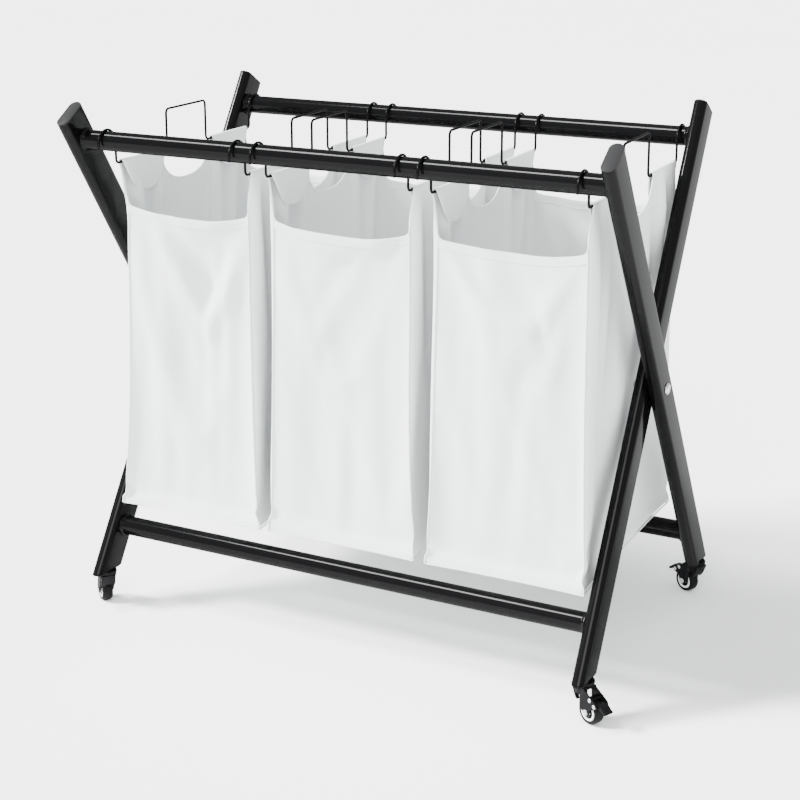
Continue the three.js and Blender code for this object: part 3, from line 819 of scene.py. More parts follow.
def tyre_mesh():
    """A tyre with a rounded tread and a shallow moulding line on each wall, about the axle."""
    caster = settings("casters")
    half, seat, out = caster.tyre_width / 2, caster.rim_radius + GAP, caster.wheel_radius
    side = [(seat, half - 0.0012), (seat + 0.0004, half - 0.0004), (seat + 0.0014, half - 0.0001),
            (seat + 0.0018, half - 0.0003), (seat + 0.0022, half - 0.0001)]
    for i in range(7):
        angle = math.radians(15 * i)
        side.append((out - 0.0026 + 0.0026 * math.sin(angle), half - 0.0042 + 0.0041 * math.cos(angle)))
    profile = [(r, -h) for r, h in reversed(side)]
    profile = side + profile
    rings = moved(lathe(profile, 64), Matrix.Rotation(math.pi / 2, 4, "X"))
    return mesh_of("tyre", *skin(rings, joined=True))


def wheel_centre_mesh():
    """Hub, recessed web and rim, about the axle. The web takes the second material."""
    caster = settings("casters")
    half, bore, rim = caster.tyre_width / 2 - 0.0005, AXLE_BORE, caster.rim_radius
    side = [(bore, half), (0.0044, half), (0.0046, half - 0.0004), (0.0046, 0.0036), (0.0052, 0.0032),
            (rim - 0.0036, 0.0032), (rim - 0.0031, 0.0036), (rim - 0.0029, half - 0.0008),
            (rim - 0.0023, half), (rim - 0.0006, half), (rim, half - 0.0006)]
    profile = side + [(r, -h) for r, h in reversed(side)]
    rings = moved(lathe(profile, 60), Matrix.Rotation(math.pi / 2, 4, "X"))
    mesh = mesh_of("wheel centre", *skin(rings, joined=True))
    return second_finish(mesh, lambda place: 0.0045 < math.hypot(place.x, place.z) < rim - 0.0028
                         and abs(place.y) < half - 0.0006)


def pedal_mesh():
    """Brake pedal: a neck between the plates, a tread that slopes down, and a raised ring on it."""
    x, z = beside_tyre(BRAKE_PIN_ANGLE)
    half = PEDAL_HALF
    neck = arc(x, z, 0.003, 90, 270, 10) + [(x + 0.008, z - 0.003), (x + 0.008, z + 0.002)]
    tread = [(x + 0.007, z - 0.003), (x + 0.0135, z - 0.0061), (x + 0.0156, z - 0.006),
             (x + 0.016, z - 0.0046), (x + 0.0148, z - 0.003), (x + 0.0125, z - 0.0022),
             (x + 0.010, z + 0.0004), (x + 0.007, z + 0.002)]
    made = combine(mesh_of("neck", *outline_plate(neck, -half, half)),
                   [mesh_of("tread", *outline_plate(tread, -half, half))], "UNION")
    hole = moved(lathe([(BRAKE_PIN_BORE, -0.02), (BRAKE_PIN_BORE, 0.02)], 20),
                 Matrix.Translation((x, 0, z)) @ Matrix.Rotation(math.pi / 2, 4, "X"))
    made = softened(combine(made, [mesh_of("hole", *skin(hole))], "DIFFERENCE"), 0.0005)
    emboss = [(0.0024, -0.001), (0.0024, 0.0003), (0.0028, 0.0006), (0.0034, 0.0006), (0.0038, 0.0003),
              (0.0038, -0.001)]
    slope = Matrix.Translation((x + 0.0113, 0, z - 0.001)) @ Matrix.Rotation(math.radians(42), 4, "Y")
    ring = mesh_of("ring", *skin(moved(lathe(emboss, 36), slope), joined=True))
    return tidy_normals(combine(made, [ring], "UNION"))


def about_axle(axes, x, z):
    return axes @ Matrix.Translation((x, 0, z))


def brake_pins(corner, axes):
    made = []
    for node, angle in (("brake_pin", BRAKE_PIN_ANGLE), ("brake_spring_pin", SPRING_PIN_ANGLE)):
        place = about_axle(axes, *beside_tyre(angle))
        made.append(finish_node(f"{node}_{corner}", pin_mesh(BRAKE_PIN_RADIUS, 0.0025, 0.001), place))
    return made


class SORTER_OT_casters(bpy.types.Operator):
    """Build the four swivel casters, two of them with brake pedals"""

    bl_idname = "sorter.casters"
    bl_label = "Casters"

    def execute(self, context):
        wheel = settings("casters").wheel_radius
        for corner in CORNERS:
            axes = caster_axes(corner)
            axle = about_axle(axes, TRAIL, wheel)
            braked = is_braked(corner)
            axle_pin = pin_mesh(AXLE_RADIUS, 0.0036, 0.0016, lobes=6, depth=0.1)
            finish_node(f"caster_fork_{corner}", fork_mesh(braked), axes)
            finish_node(f"caster_tyre_{corner}", tyre_mesh(), axle)
            two_tone = [finish_node(f"caster_stem_{corner}", stem_mesh(), axes),
                        finish_node(f"caster_axle_{corner}", axle_pin, axle),
                        finish_node(f"caster_wheel_centre_{corner}", wheel_centre_mesh(), axle)]
            if braked:
                finish_node(f"brake_pedal_{corner}", pedal_mesh(), axes)
                two_tone += brake_pins(corner, axes)
            for piece in two_tone:
                piece.data.materials.append(material_for("black_plastic"))
        return {"FINISHED"}


# ---------- hangers ----------
WIRE = 0.0015
COATING = 0.00015
HOOK_SLACK = 0.0038
HOOK_TAIL = 0.006
WIRE_BEND = 0.006
HANDLE_HALF = 0.0485
HANDLE_RISE = 0.0565
HEM_BELOW_RAIL = 0.055


class BagPlaces:
    """The places that a bag's wires and cloth share, from its boxes in the frame."""

    def __init__(self, bag):
        low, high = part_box(bag)
        wire_low, _wire_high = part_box(f"{bag}_hanger_left")
        self.middle = (low[0] + high[0]) / 2
        self.half_width = (high[0] - low[0]) / 2
        self.half_depth = (high[1] - low[1]) / 2
        self.bottom = low[2]
        self.rail = wire_low[2] + WIRE
        self.hook_radius = settings("frame").bar_radius + GAP + WIRE + HOOK_SLACK
        self.hook_height = TOP_BAR.z - HOOK_SLACK
        self.drop = TOP_BAR.y - self.hook_radius
        self.hanger = centre(f"{bag}_hanger_right").x - self.middle
        self.hem = self.rail - HEM_BELOW_RAIL
        self.sleeve = self.rail + WIRE + 0.0005
        self.ear_inner = HANDLE_HALF + WIRE_BEND + 0.0075
        self.ear_outer = self.drop - WIRE_BEND - 0.0042


def hanger_route(places):
    """The middle of one bent wire, from the front hook to the rear one, as (y, z)."""
    handle = places.rail + HANDLE_RISE
    bend = WIRE_BEND
    rear = arc(HANDLE_HALF - bend, handle - bend, bend, 90, 0, 5)
    rear += arc(HANDLE_HALF + bend, places.rail + bend, bend, 180, 270, 5)
    rear += arc(places.drop - bend, places.rail + bend, bend, 270, 360, 5)
    rear += arc(TOP_BAR.y, places.hook_height, places.hook_radius, 180, 0, 20)
    rear.append((TOP_BAR.y + places.hook_radius, places.hook_height - HOOK_TAIL))
    return [(-y, z) for y, z in reversed(rear)] + rear


def swept(route, radius, steps=12, cap=0.5):
    """Rings of a round wire along (y, z) points in one plane, with eased ends."""
    points = [Vector((0, y, z)) for y, z in route]
    rings = []
    for i, point in enumerate(points):
        ahead = points[min(i + 1, len(points) - 1)] - points[max(i - 1, 0)]
        side = ahead.normalized().cross(Vector((1, 0, 0)))
        turn = [point + Vector((radius * x, 0, 0)) + side * radius * y for x, y in circle(1.0, steps)]
        rings.append(turn)
    for end, inner in ((0, 1), (-1, -2)):
        out = (points[end] - points[inner]).normalized() * radius * cap
        tip = [points[end] + (point - points[end]) * 0.55 for point in rings[end]]
        rings[end] = [point - out for point in rings[end]]
        if end == 0:
            rings.insert(0, tip)
        else:
            rings.append(tip)
    return rings


def fold_flat(piece):
    """Gives the piece a mesh of its own."""
    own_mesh(piece)


class SORTER_OT_hangers(bpy.types.Operator):
    """Build the six bent wires that carry the bags"""

    bl_idname = "sorter.hangers"
    bl_label = "Wire Hangers"

    def execute(self, context):
        for bag in BAGS:
            places = BagPlaces(bag)
            for end, side in ENDS:
                rings = swept(hanger_route(places), WIRE + COATING)
                place = Matrix.Translation((places.middle + side * places.hanger, 0, 0))
                mesh = mesh_of("wire", *skin(rings), sharp=50.0)
                fold_flat(finish_node(f"{bag}_hanger_{end}", mesh, place))
        return {"FINISHED"}


# ---------- bags ----------
HEM_SAG = 0.0075
HEM_LOW_POINT = 0.68
HEM_COLUMNS = 24
HEM_PROUD = 0.0015
SCOOP_DEPTH = 0.044
SIDE_BAND = 0.005
SIDE_PROUD = 0.001
CLOTH_INSET = 0.0006
WALL_ROWS = 50
FRONT_REACH = 0.103
SIDE_REACH = 0.165
FOOT_HOLD = 0.9
DRAPE_CAP = Vector((0.005, 0.006, 0.003))
FLAP_FALL = 0.046
FLAP_ROW = 0.004
FLAP_COLUMN = 0.0094
FOLDS = {
    "bag_1": {"seed": 3.0, "waist": 0.006, "flute": 0.0105, "vee": 0.015, "apex": 0.3, "pleat": 0.011,
              "pull": 0.0165, "flare": 0.0075},
    "bag_2": {"seed": 11.0, "waist": 0.003, "flute": 0.009, "vee": 0.005, "apex": -0.35, "pleat": 0.01,
              "pull": 0.005, "flare": 0.0035},
    "bag_3": {"seed": 23.0, "waist": 0.0035, "flute": 0.0075, "vee": 0.0035, "apex": 0.5, "pleat": 0.01,
              "pull": 0.005, "flare": 0.0035},
}


def bezier(points, t):
    """A point on a curve through its control points."""
    points = [Vector(point) for point in points]
    while len(points) > 1:
        points = [a.lerp(b, t) for a, b in zip(points, points[1:])]
    return points[0]


def side_outline(places):
    """The top edge of a side panel from the front corner to the rear, as (y, z)."""
    edge = [(places.half_depth, places.hem), (places.half_depth - 0.003, places.rail - 0.012),
            (places.ear_outer, places.sleeve)]
    scoop = places.rail - SCOOP_DEPTH
    dip = [(places.ear_inner, places.sleeve), (places.ear_inner - 0.004, places.rail - 0.03),
           (0.034, scoop), (0, scoop)]
    rear = [bezier(edge, i / 5) for i in range(5)]
    flat = 10
    rear += [Vector((places.ear_outer + (places.ear_inner - places.ear_outer) * i / flat, places.sleeve))
             for i in range(flat)]
    rear += [bezier(dip, i / 11) for i in range(12)]
    front = [Vector((-point.x, point.y)) for point in rear[:-1]]
    return front + list(reversed(rear))


class Column:
    """One vertical line of the cloth: its foot, the height of its top, and what edge it ends in."""

    def __init__(self, x, y, top, panel, edge, out):
        self.x, self.y, self.top = x, y, top
        self.panel, self.edge, self.out = panel, edge, out


def bag_columns(places):
    """The cloth's columns once round the bag: front, right side, rear, left side."""
    width = places.half_width - CLOTH_INSET
    depth = places.half_depth - CLOTH_INSET
    steps = HEM_COLUMNS
    hems = []
    for i in range(steps):
        x = width * (2 * i / steps - 1)
        share = (i / steps - HEM_LOW_POINT) / (HEM_LOW_POINT if i < HEM_LOW_POINT * steps else 0.32)
        top = places.hem - HEM_SAG * (1 - abs(share) ** 1.5)
        hems.append((x, top))
    sides = side_outline(places)
    columns = []
    for x, top in hems:
        columns.append(Column(x, -depth, top, "front", "hem", Vector((0, -1, 0))))
    for y, top in sides[:-1]:
        edge = ear_or_edge(places, y)
        columns.append(Column(width, max(y, -depth), top, "right", edge, Vector((1, 0, 0))))
    for x, top in hems:
        columns.append(Column(-x, depth, top, "rear", "hem", Vector((0, 1, 0))))
    for y, top in sides[:-1]:
        edge = ear_or_edge(places, y)
        columns.append(Column(-width, -max(y, -depth), top, "left", edge, Vector((-1, 0, 0))))
    return columns


def ear_or_edge(places, y):
    on_ear = places.ear_inner - 1e-6 <= abs(y) <= places.ear_outer + 1e-6
    return "ear" if on_ear else "edge"


def crease(distance, width):
    """A soft ridge across a distance, 1 at its middle."""
    return math.exp(-((distance / width) ** 2))


def front_relief(column, rise, fade, folds):
    """Slack in a front or rear panel: a vee hung from the hem's corners, and flutes down to the foot."""
    across = column.x / FRONT_REACH * -column.out.y
    middle = max(0.0, math.cos(across * math.pi / 2))
    below_hem = 1 - rise
    slope = abs(across - folds["apex"]) * 0.38 + below_hem
    vee = crease(slope - 0.36, 0.07) - 0.7 * crease(slope - 0.24, 0.055)
    seed = folds["seed"]
    long_wave = noise.noise(Vector((across * 2.1 + seed, rise * 0.9, seed)))
    short_wave = noise.noise(Vector((across * 4.6 - rise * 0.8, rise * 1.6, seed + 5)))
    diagonal = crease(across * 0.55 + 0.9 * rise - 0.55 - 0.06 * math.sin(seed), 0.06)
    flutes = folds["flute"] * (1.5 * long_wave + 0.8 * short_wave) * middle ** 0.35
    slack = folds["vee"] * vee * middle ** 0.6 + flutes
    return fade * (slack + 0.0028 * diagonal * middle - folds["waist"] * middle)


def side_relief(column, rise, fade, folds):
    """Slack in a side panel: pleats that run down from the ears, and a waist."""
    across = column.y / SIDE_REACH
    middle = max(0.0, math.cos(across * math.pi / 2))
    seed = folds["seed"]
    pleats = 0.0
    for start, drift, width, sign in ((0.9, 0.3, 0.05, 1), (0.76, 0.16, 0.05, -1), (0.6, 0.0, 0.055, 1),
                                      (0.44, -0.12, 0.05, -0.8)):
        line = abs(across) - start + drift * (1.1 - rise)
        pleats += sign * crease(line, width + 0.07 * (1.1 - rise))
    strength = max(0.0, rise * 1.5 - 0.45)
    broad = noise.noise(Vector((across * 2.4 + seed, rise * 1.1, seed * column.out.x)))
    return (folds["pleat"] * pleats * strength * middle ** 0.25
            + fade * (folds["flute"] * 1.2 * broad * middle ** 0.4 - folds["waist"] * 0.8 * middle))


def drape_offset(column, height, places, folds):
    """How far the cloth starts from its flat panel."""
    rise = max(0.0, min(1.0, (height - places.bottom) / (places.hem - places.bottom)))
    fade = math.sin(math.pi * min(0.97, rise)) ** 0.6 if rise > 0 else 0.0
    relief = front_relief if column.out.y else side_relief
    fine = 0.0009 * noise.noise(Vector((column.x * 90, column.y * 90, height * 60 + folds["seed"]))) * fade
    return relief(column, rise, fade, folds) + fine


def drawn_in(point, places, folds):
    """Pulls the front left corner towards the bag and lets the foot's corners spread."""
    rise = max(0.0, min(1.0, (point.z - places.bottom) / (places.hem - places.bottom)))
    leftness = (1 - point.x / places.half_width) / 2
    frontness = max(0.0, 1 - (point.y + places.half_depth) / (places.half_depth * 1.1)) ** 1.3
    above = max(0.0, (point.z - places.hem) / (places.sleeve - places.hem))
    hold = max(0.0, 1 - above) ** 1.2
    pull = folds["pull"] * rise ** 0.9 * leftness * frontness * hold
    spread = folds["flare"] * (1 - rise) ** 3
    corner = abs(point.x / places.half_width) ** 3 * abs(point.y / places.half_depth) ** 3
    return point + Vector((pull + math.copysign(spread, point.x) * corner,
                           math.copysign(spread * 0.6, point.y) * corner, 0))


def bag_start(bag, places, columns):
    """The walls of the bag, already slightly slack, as rows of points per column."""
    folds = FOLDS[bag]
    wall = np.zeros((len(columns), WALL_ROWS + 1, 3))
    for i, column in enumerate(columns):
        for j in range(WALL_ROWS + 1):
            z = places.bottom + CLOTH_INSET + (column.top - places.bottom - CLOTH_INSET) * j / WALL_ROWS
            shift = drape_offset(column, z, places, folds)
            if z > places.hem and column.out.x:
                shift *= max(0.0, 1 - ((z - places.hem) / (places.sleeve - places.hem - 0.002)) ** 2)
            wall[i, j] = drawn_in(Vector((column.x, column.y, z)) + column.out * shift, places, folds)
    return wall


def bottom_grid(columns):
    """Vertex index of the wall's foot for each place on the bottom's rim, or None inside it."""
    front = [i for i, c in enumerate(columns) if c.panel == "front"]
    right = [i for i, c in enumerate(columns) if c.panel == "right"]
    rear = [i for i, c in enumerate(columns) if c.panel == "rear"]
    left = [i for i, c in enumerate(columns) if c.panel == "left"]
    across, deep = len(front) + 1, len(right) + 1
    grid = [[None] * deep for _ in range(across)]
    for k, i in enumerate(front):
        grid[k][0] = i
    for k, i in enumerate(right):
        grid[across - 1][k] = i
    for k, i in enumerate(rear):
        grid[across - 1 - k][deep - 1] = i
    for k, i in enumerate(left):
        grid[0][deep - 1 - k] = i
    return grid


class Cloth:
    """Vertices, faces and flat layout of a bag while it is put together."""

    def __init__(self, wall, columns):
        self.columns = columns
        self.rows = wall.shape[1]
        self.points = [Vector(point) for line in wall for point in line]
        self.faces, self.layouts = [], []
        self.around = [0.0]
        for near, far in zip(columns, columns[1:] + columns[:1]):
            self.around.append(self.around[-1] + math.hypot(far.x - near.x, far.y - near.y))
        for i in range(len(columns)):
            k = (i + 1) % len(columns)
            for j in range(self.rows - 1):
                corners = (self.at(i, j), self.at(k, j), self.at(k, j + 1), self.at(i, j + 1))
                u, v = self.around[i], self.around[i + 1]
                low, high = self.points[corners[0]].z, self.points[corners[3]].z
                self.add(corners, ((u, low), (v, low), (v, high), (u, high)))

    def at(self, column, row):
        return column * self.rows + row

    def add(self, corners, layout):
        self.faces.append(corners)
        self.layouts.append(layout)

    def add_bottom(self):
        """The bottom sheet, sewn to the foot of the walls."""
        grid = bottom_grid(self.columns)
        xs = [self.points[self.at(line[0], 0)].x for line in grid]
        ys = [self.points[self.at(i, 0)].y for i in grid[-1]]
        level = self.points[self.at(grid[0][0], 0)].z
        rim = {}
        for a, line in enumerate(grid):
            for b, column in enumerate(line):
                if column is not None:
                    rim[a, b] = self.at(column, 0)
                    continue
                rim[a, b] = len(self.points)
                self.points.append(Vector((xs[a], ys[b], level)))
        for a in range(len(grid) - 1):
            for b in range(len(grid[0]) - 1):
                corners = (rim[a, b], rim[a, b + 1], rim[a + 1, b + 1], rim[a + 1, b])
                self.add(corners, tuple((self.points[c].x, self.points[c].y) for c in corners))

    def mesh(self, name):
        mesh = bpy.data.meshes.new(name)
        mesh.from_pydata([tuple(point) for point in self.points], [], self.faces)
        layer = mesh.uv_layers.new(name="cut")
        loop = 0
        for layout in self.layouts:
            for place in layout:
                layer.data[loop].uv = place
                loop += 1
        mesh.shade_smooth()
        return mesh


def held_weights(cloth):
    """How firmly each point is held: the ears on their wires, the bottom's rim by its seams."""
    weights = {}
    for i, column in enumerate(cloth.columns):
        for j in range(cloth.rows):
            weight = 0.0
            if column.edge == "ear" and j >= cloth.rows - 2:
                weight = 1.0
            elif j <= 1:
                weight = FOOT_HOLD
            weights[cloth.at(i, j)] = weight
    for index in range(len(cloth.columns) * cloth.rows, len(cloth.points)):
        weights[index] = FOOT_HOLD
    return weights


def draped(cloth, name):
    """Hangs the cloth from its ears and lets it settle, then keeps each point near its panel."""
    fabric = settings("fabric")
    made = loose_object(name, cloth.mesh(name))
    held = made.vertex_groups.new(name="held")
    for index, weight in held_weights(cloth).items():
        held.add([index], weight, "REPLACE")
    modifier = made.modifiers.new("drape", "CLOTH")
    cloth_settings = modifier.settings
    cloth_settings.quality = 6
    cloth_settings.mass = 0.15
    cloth_settings.tension_stiffness = 25
    cloth_settings.compression_stiffness = 18
    cloth_settings.shear_stiffness = 8
    cloth_settings.bending_stiffness = 2.0
    cloth_settings.air_damping = 3
    cloth_settings.vertex_group_mass = "held"
    cloth_settings.pin_stiffness = 1.0
    cloth_settings.shrink_min = -fabric.ease * 0.35
    modifier.collision_settings.use_collision = False
    modifier.point_cache.frame_start = 1
    modifier.point_cache.frame_end = fabric.frames
    for step in range(1, fabric.frames + 1):
        bpy.context.scene.frame_set(step)
    shape = made.evaluated_get(bpy.context.evaluated_depsgraph_get())
    hung = [vertex.co.copy() for vertex in shape.data.vertices]
    made.modifiers.clear()
    bpy.data.objects.remove(made)
    bpy.context.scene.frame_set(1)
    for index, (start, point) in enumerate(zip(cloth.points, hung)):
        move = point - start
        eased = [limit * math.tanh(step / limit) for step, limit in zip(move, DRAPE_CAP)]
        cloth.points[index] = start + Vector(eased)


def outward(cloth, i, j):
    """The cloth's outward direction at a column and row."""
    count, last = len(cloth.columns), cloth.rows - 1
    ahead = cloth.points[cloth.at((i + 1) % count, j)] - cloth.points[cloth.at((i - 1) % count, j)]
    up = cloth.points[cloth.at(i, min(j + 1, last))] - cloth.points[cloth.at(i, max(j - 1, 0))]
    return ahead.cross(up).normalized()


def below_top(cloth, i, drop):
    """The point on a column that far below its top edge, and its outward direction."""
    j = cloth.rows - 1
    point = cloth.points[cloth.at(i, j)]
    while j > 1:
        lower = cloth.points[cloth.at(i, j - 1)]
        step = (point - lower).length
        if drop <= step:
            return point.lerp(lower, drop / step), outward(cloth, i, j)
        drop -= step
        point = lower
        j -= 1
    return point, outward(cloth, i, j)


def band_rings(cloth, run, depth, proud):
    """A folded band along a run of top edges: over the edge and down both faces, with rounded lips."""
    rings = []
    cover = settings("fabric").thickness
    for i in run:
        ring = []
        for drop, reach in ((depth, cover * 0.5), (depth - 0.0004, proud), (depth - 0.0016, proud * 0.72),
                            (depth * 0.5, proud * 0.9), (0.0006, proud), (-0.0006, cover * 0.3),
                            (-0.0006, -cover * 0.3), (0.0006, -proud), (depth * 0.5, -proud * 0.9),
                            (depth - 0.0016, -proud * 0.72), (depth - 0.0004, -proud),
                            (depth, -cover * 0.5)):
            point, out = below_top(cloth, i, max(drop, 0.0))
            lift = Vector((0, 0, -min(drop, 0.0)))
            ring.append(point + lift + out * reach)
        rings.append(ring)
    return rings


def tube_rings(points, radius, steps=8):
    """Rings of a soft cord laid along points."""
    rings = []
    for i, point in enumerate(points):
        ahead = (points[min(i + 1, len(points) - 1)] - points[max(i - 1, 0)]).normalized()
        aside = Vector((0.31, 0.87, 0.37)) if abs(ahead.y) < 0.8 else Vector((1, 0, 0))
        side = ahead.cross(aside).normalized()
        up = ahead.cross(side)
        rings.append([point + (side * x + up * y) * radius for x, y in circle(1.0, steps)])
    return rings


def runs(columns, wanted, count):
    """Runs of neighbouring columns that meet a test, each one column longer at its two ends."""
    marks = [wanted(column) for column in columns]
    start = next(i for i in range(count) if marks[i] and not marks[i - 1])
    found, run = [], []
    for k in range(count + 1):
        i = (start + k) % count
        if marks[i] and k < count:
            run.append(i)
        elif run:
            found.append([(run[0] - 1) % count, *run, (run[-1] + 1) % count])
            run = []
    return found


def ear_folds(cloth, places):
    """Carries each ear over its wire and down inside the bag as a flap with rounded corners."""
    count = len(cloth.columns)
    wire = places.hanger
    for run in runs(cloth.columns, lambda column: column.edge == "ear", count):
        run = run[1:-1]
        side = 1 if cloth.columns[run[0]].x > 0 else -1
        tops = [cloth.at(i, cloth.rows - 1) for i in run]
        middle_y = sum(cloth.points[top].y for top in tops) / len(tops)
        half_run = abs(cloth.points[tops[0]].y - cloth.points[tops[-1]].y) / 2
        outside = places.half_width - CLOTH_INSET - wire
        previous = tops
        steps = [("over", angle) for angle in (22.5, 45, 67.5, 90, 112.5, 135, 157.5, 180)]
        steps += [("down", share) for share in (0.1, 0.25, 0.4, 0.55, 0.7, 0.82, 0.92, 0.98, 1.0)]
        reach = outside
        height = cloth.points[tops[0]].z
        travelled = 0.0
        for kind, amount in steps:
            line = []
            for top in tops:
                start = cloth.points[top]
                off = (start.y - middle_y) / half_run
                if kind == "over":
                    angle = math.radians(amount)
                    x = wire + reach * math.cos(angle)
                    z = height + reach * 0.62 * math.sin(angle) + 0.0004 * math.sin(amount * 0.11 + off * 5)
                    y = start.y
                else:
                    fall = amount * (FLAP_FALL - 0.0025 * off * off)
                    outer = off * middle_y > 0
                    narrow = 1 - (0.5 if outer else 0.12) * amount - (0.1 if outer else 0.45) * amount ** 6
                    y = middle_y + off * half_run * narrow
                    wave = 0.0011 * math.sin(off * 4.0 + amount * 3.0 + places.middle * 30) * amount
                    x = wire - reach - CLOTH_INSET + wave - 0.0018 * amount
                    z = height - fall
                line.append(len(cloth.points))
                cloth.points.append(Vector((side * x, y, z)))
            travelled += FLAP_ROW
            for a in range(len(tops) - 1):
                corners = (previous[a], previous[a + 1], line[a + 1], line[a])
                u0, u1 = 2.0 + a * FLAP_COLUMN, 2.0 + (a + 1) * FLAP_COLUMN
                next_row = travelled + FLAP_ROW
                cloth.add(corners, ((u0, travelled), (u1, travelled), (u1, next_row), (u0, next_row)))
            previous = line


def join_into(target, rings, joined=False):
    """Adds closed rings as a solid in the same object, with its own part of the layout."""
    vertices, faces = skin(rings, joined)
    mesh = bpy.data.meshes.new("trim")
    mesh.from_pydata([tuple(vertex) for vertex in vertices], [], faces)
    layer = mesh.uv_layers.new(name="cut")
    for polygon in mesh.polygons:
        for loop in polygon.loop_indices:
            place = mesh.vertices[mesh.loops[loop].vertex_index].co
            layer.data[loop].uv = (place.x + place.y, place.z)
    tidy_normals(mesh, 60.0)
    target.append(mesh)


def bag_mesh(bag):
    """A hung bag: walls, bottom, ears over the wires, hems, seams."""
    places = BagPlaces(bag)
    columns = bag_columns(places)
    cloth = Cloth(bag_start(bag, places, columns), columns)
    cloth.add_bottom()
    draped(cloth, f"{bag}_drape")
    count = len(columns)
    trims = []
    fabric = settings("fabric")
    for run in runs(columns, lambda column: column.edge == "hem", count):
        join_into(trims, band_rings(cloth, run[1:], fabric.hem, HEM_PROUD))
    for run in runs(columns, lambda column: column.edge == "edge", count):
        join_into(trims, band_rings(cloth, run, SIDE_BAND, SIDE_PROUD))
    for i, column in enumerate(columns):
        if abs(abs(column.x) - places.half_width) < 0.001 and abs(abs(column.y) - places.half_depth) < 0.001:
            line = []
            out = Vector((math.copysign(1, column.x), math.copysign(1, column.y), 0)).normalized()
            for j in range(cloth.rows):
                point = cloth.points[cloth.at(i, j)]
                pucker = noise.noise(Vector((point.z * 45, places.middle * 9, i)))
                line.append(point + out * (0.0008 + 0.0011 * pucker * pucker))
            join_into(trims, tube_rings(line, fabric.seam))
    foot = [cloth.points[cloth.at(i % count, 0)] + Vector((0, 0, -0.0004)) for i in range(count)]
    join_into(trims, tube_rings(foot, fabric.seam * 0.9), joined=True)
    ear_folds(cloth, places)
    sheet = loose_object("work", cloth.mesh(bag))
    smooth = sheet.modifiers.new("finer", "SUBSURF")
    smooth.levels = smooth.render_levels = 1
    skin_modifier = sheet.modifiers.new("cloth", "SOLIDIFY")
    skin_modifier.thickness = fabric.thickness
    skin_modifier.offset = 0.0
    mesh = settle(sheet).data
    bpy.data.objects.remove(sheet)
    work = bmesh.new()
    for part in [mesh, *trims]:
        work.from_mesh(part)
    work.to_mesh(mesh)
    work.free()
    mesh.transform(Matrix.Translation((places.middle, 0, 0)))
    return mesh


class SORTER_OT_bags(bpy.types.Operator):
    """Drape and sew the three fabric bags"""

    bl_idname = "sorter.bags"
    bl_label = "Fabric Bags"

    def execute(self, context):
        for bag in BAGS:
            fold_flat(finish_node(bag, bag_mesh(bag)))
        return {"FINISHED"}


# ---------- floor, lights, camera ----------
FLOOR_RADIUS = 40.0
CAMERA_PLACE = (0.95667, -1.90016, 1.00456)
CAMERA_HEADING, CAMERA_TILT, CAMERA_ROLL = 26.86, -13.65, -0.13
CAMERA_SHIFT = (0.0093, -0.175)
LIGHTS = (("key", (-3.8, -1.9, 2.8), 1.0, 11.0), ("fill", (0.4, -3.0, 2.0), 0.2, 30.0),
          ("top", (-1.5, -0.6, 2.6), 0.35, 14.0))


def soft_sun(name, place, strength, spread):
    """A distant soft light that shines from a direction towards the middle of the floor."""
    light = bpy.data.lights.new(name, "SUN")
    light.energy = strength
    light.angle = math.radians(spread)
    made = bpy.data.objects.new(name, light)
    bpy.context.scene.collection.objects.link(made)
    aim = (-Vector(place)).to_track_quat("-Z", "Y")
    made.matrix_world = Matrix.Translation(place) @ aim.to_matrix().to_4x4()
    return made


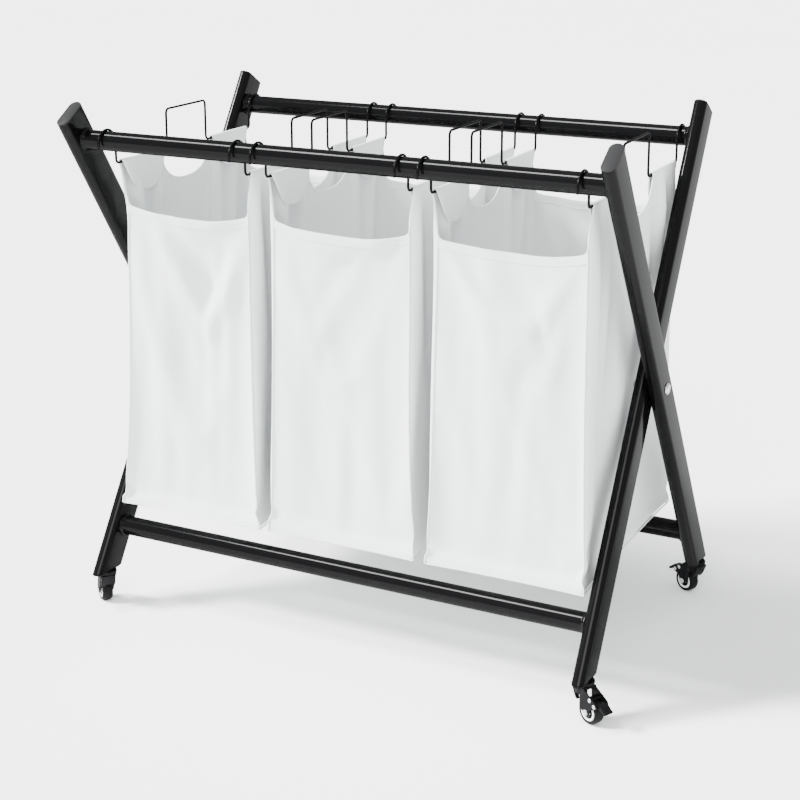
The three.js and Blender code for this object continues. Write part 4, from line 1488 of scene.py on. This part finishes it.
class SORTER_OT_stage(bpy.types.Operator):
    """Lay the floor and set the lights and the camera"""

    bl_idname = "sorter.stage"
    bl_label = "Floor, Lights and Camera"

    def execute(self, context):
        stage = settings("stage")
        floor = bpy.data.meshes.new("floor")
        ring = [(x, y, 0.0) for x, y in circle(FLOOR_RADIUS, 96)]
        floor.from_pydata(ring, [], [tuple(range(len(ring)))])
        floor_piece = loose_object("floor", floor)
        floor.materials.append(grained("floor_paper", stage.floor, (0.75, 0.85), grain=60.0, patch=0.6,
                                       bump=0.01))
        world = bpy.data.worlds.new("studio")
        world.use_nodes = True
        sky = world.node_tree.nodes["Background"]
        sky.inputs["Color"].default_value = (0.97, 0.995, 1.0, 1.0)
        sky.inputs["Strength"].default_value = stage.sky
        context.scene.world = world
        for name, place, share, spread in LIGHTS:
            soft_sun(name, place, stage.key * share, spread)
        view = bpy.data.cameras.new("camera")
        view.sensor_width = 36.0
        view.lens = stage.lens
        view.shift_x, view.shift_y = CAMERA_SHIFT
        made = bpy.data.objects.new("camera", view)
        context.scene.collection.objects.link(made)
        heading, tilt, roll = (math.radians(turn) for turn in (CAMERA_HEADING, CAMERA_TILT, CAMERA_ROLL))
        turn = Matrix.Rotation(heading, 4, "Z") @ Matrix.Rotation(math.pi / 2 + tilt, 4, "X")
        made.matrix_world = Matrix.Translation(CAMERA_PLACE) @ turn @ Matrix.Rotation(roll, 4, "Z")
        context.scene.camera = made
        return {"FINISHED"}


# ---------- panel ----------
OPERATORS = (SORTER_OT_stage, SORTER_OT_legs, SORTER_OT_bars, SORTER_OT_pivots, SORTER_OT_casters,
             SORTER_OT_hangers, SORTER_OT_bags)
SETTINGS = {"frame": SorterFrameSettings, "casters": SorterCasterSettings, "fabric": SorterFabricSettings,
            "stage": SorterStageSettings}


class SORTER_PT_parts(bpy.types.Panel):
    """Lists what can be built, and its sizes and colours"""

    bl_idname = "SORTER_PT_parts"
    bl_label = "Laundry Sorter"
    bl_space_type = "VIEW_3D"
    bl_region_type = "UI"
    bl_category = "Sorter"

    def draw(self, context):
        for operator in OPERATORS:
            self.layout.operator(operator.bl_idname)
        for name, kind in SETTINGS.items():
            box = self.layout.box()
            box.label(text=name.capitalize())
            for field in kind.__annotations__:
                box.prop(settings(name), field)


def register():
    for kind in (*SETTINGS.values(), *OPERATORS, SORTER_PT_parts):
        bpy.utils.register_class(kind)
    for name, kind in SETTINGS.items():
        setattr(bpy.types.Scene, f"sorter_{name}", bpy.props.PointerProperty(type=kind))


def unregister():
    for name in SETTINGS:
        delattr(bpy.types.Scene, f"sorter_{name}")
    for kind in reversed((*SETTINGS.values(), *OPERATORS, SORTER_PT_parts)):
        bpy.utils.unregister_class(kind)


def main():
    register()
    for operator in OPERATORS:
        family, action = operator.bl_idname.split(".")
        getattr(getattr(bpy.ops, family), action)()


if __name__ == "__main__":
    main()
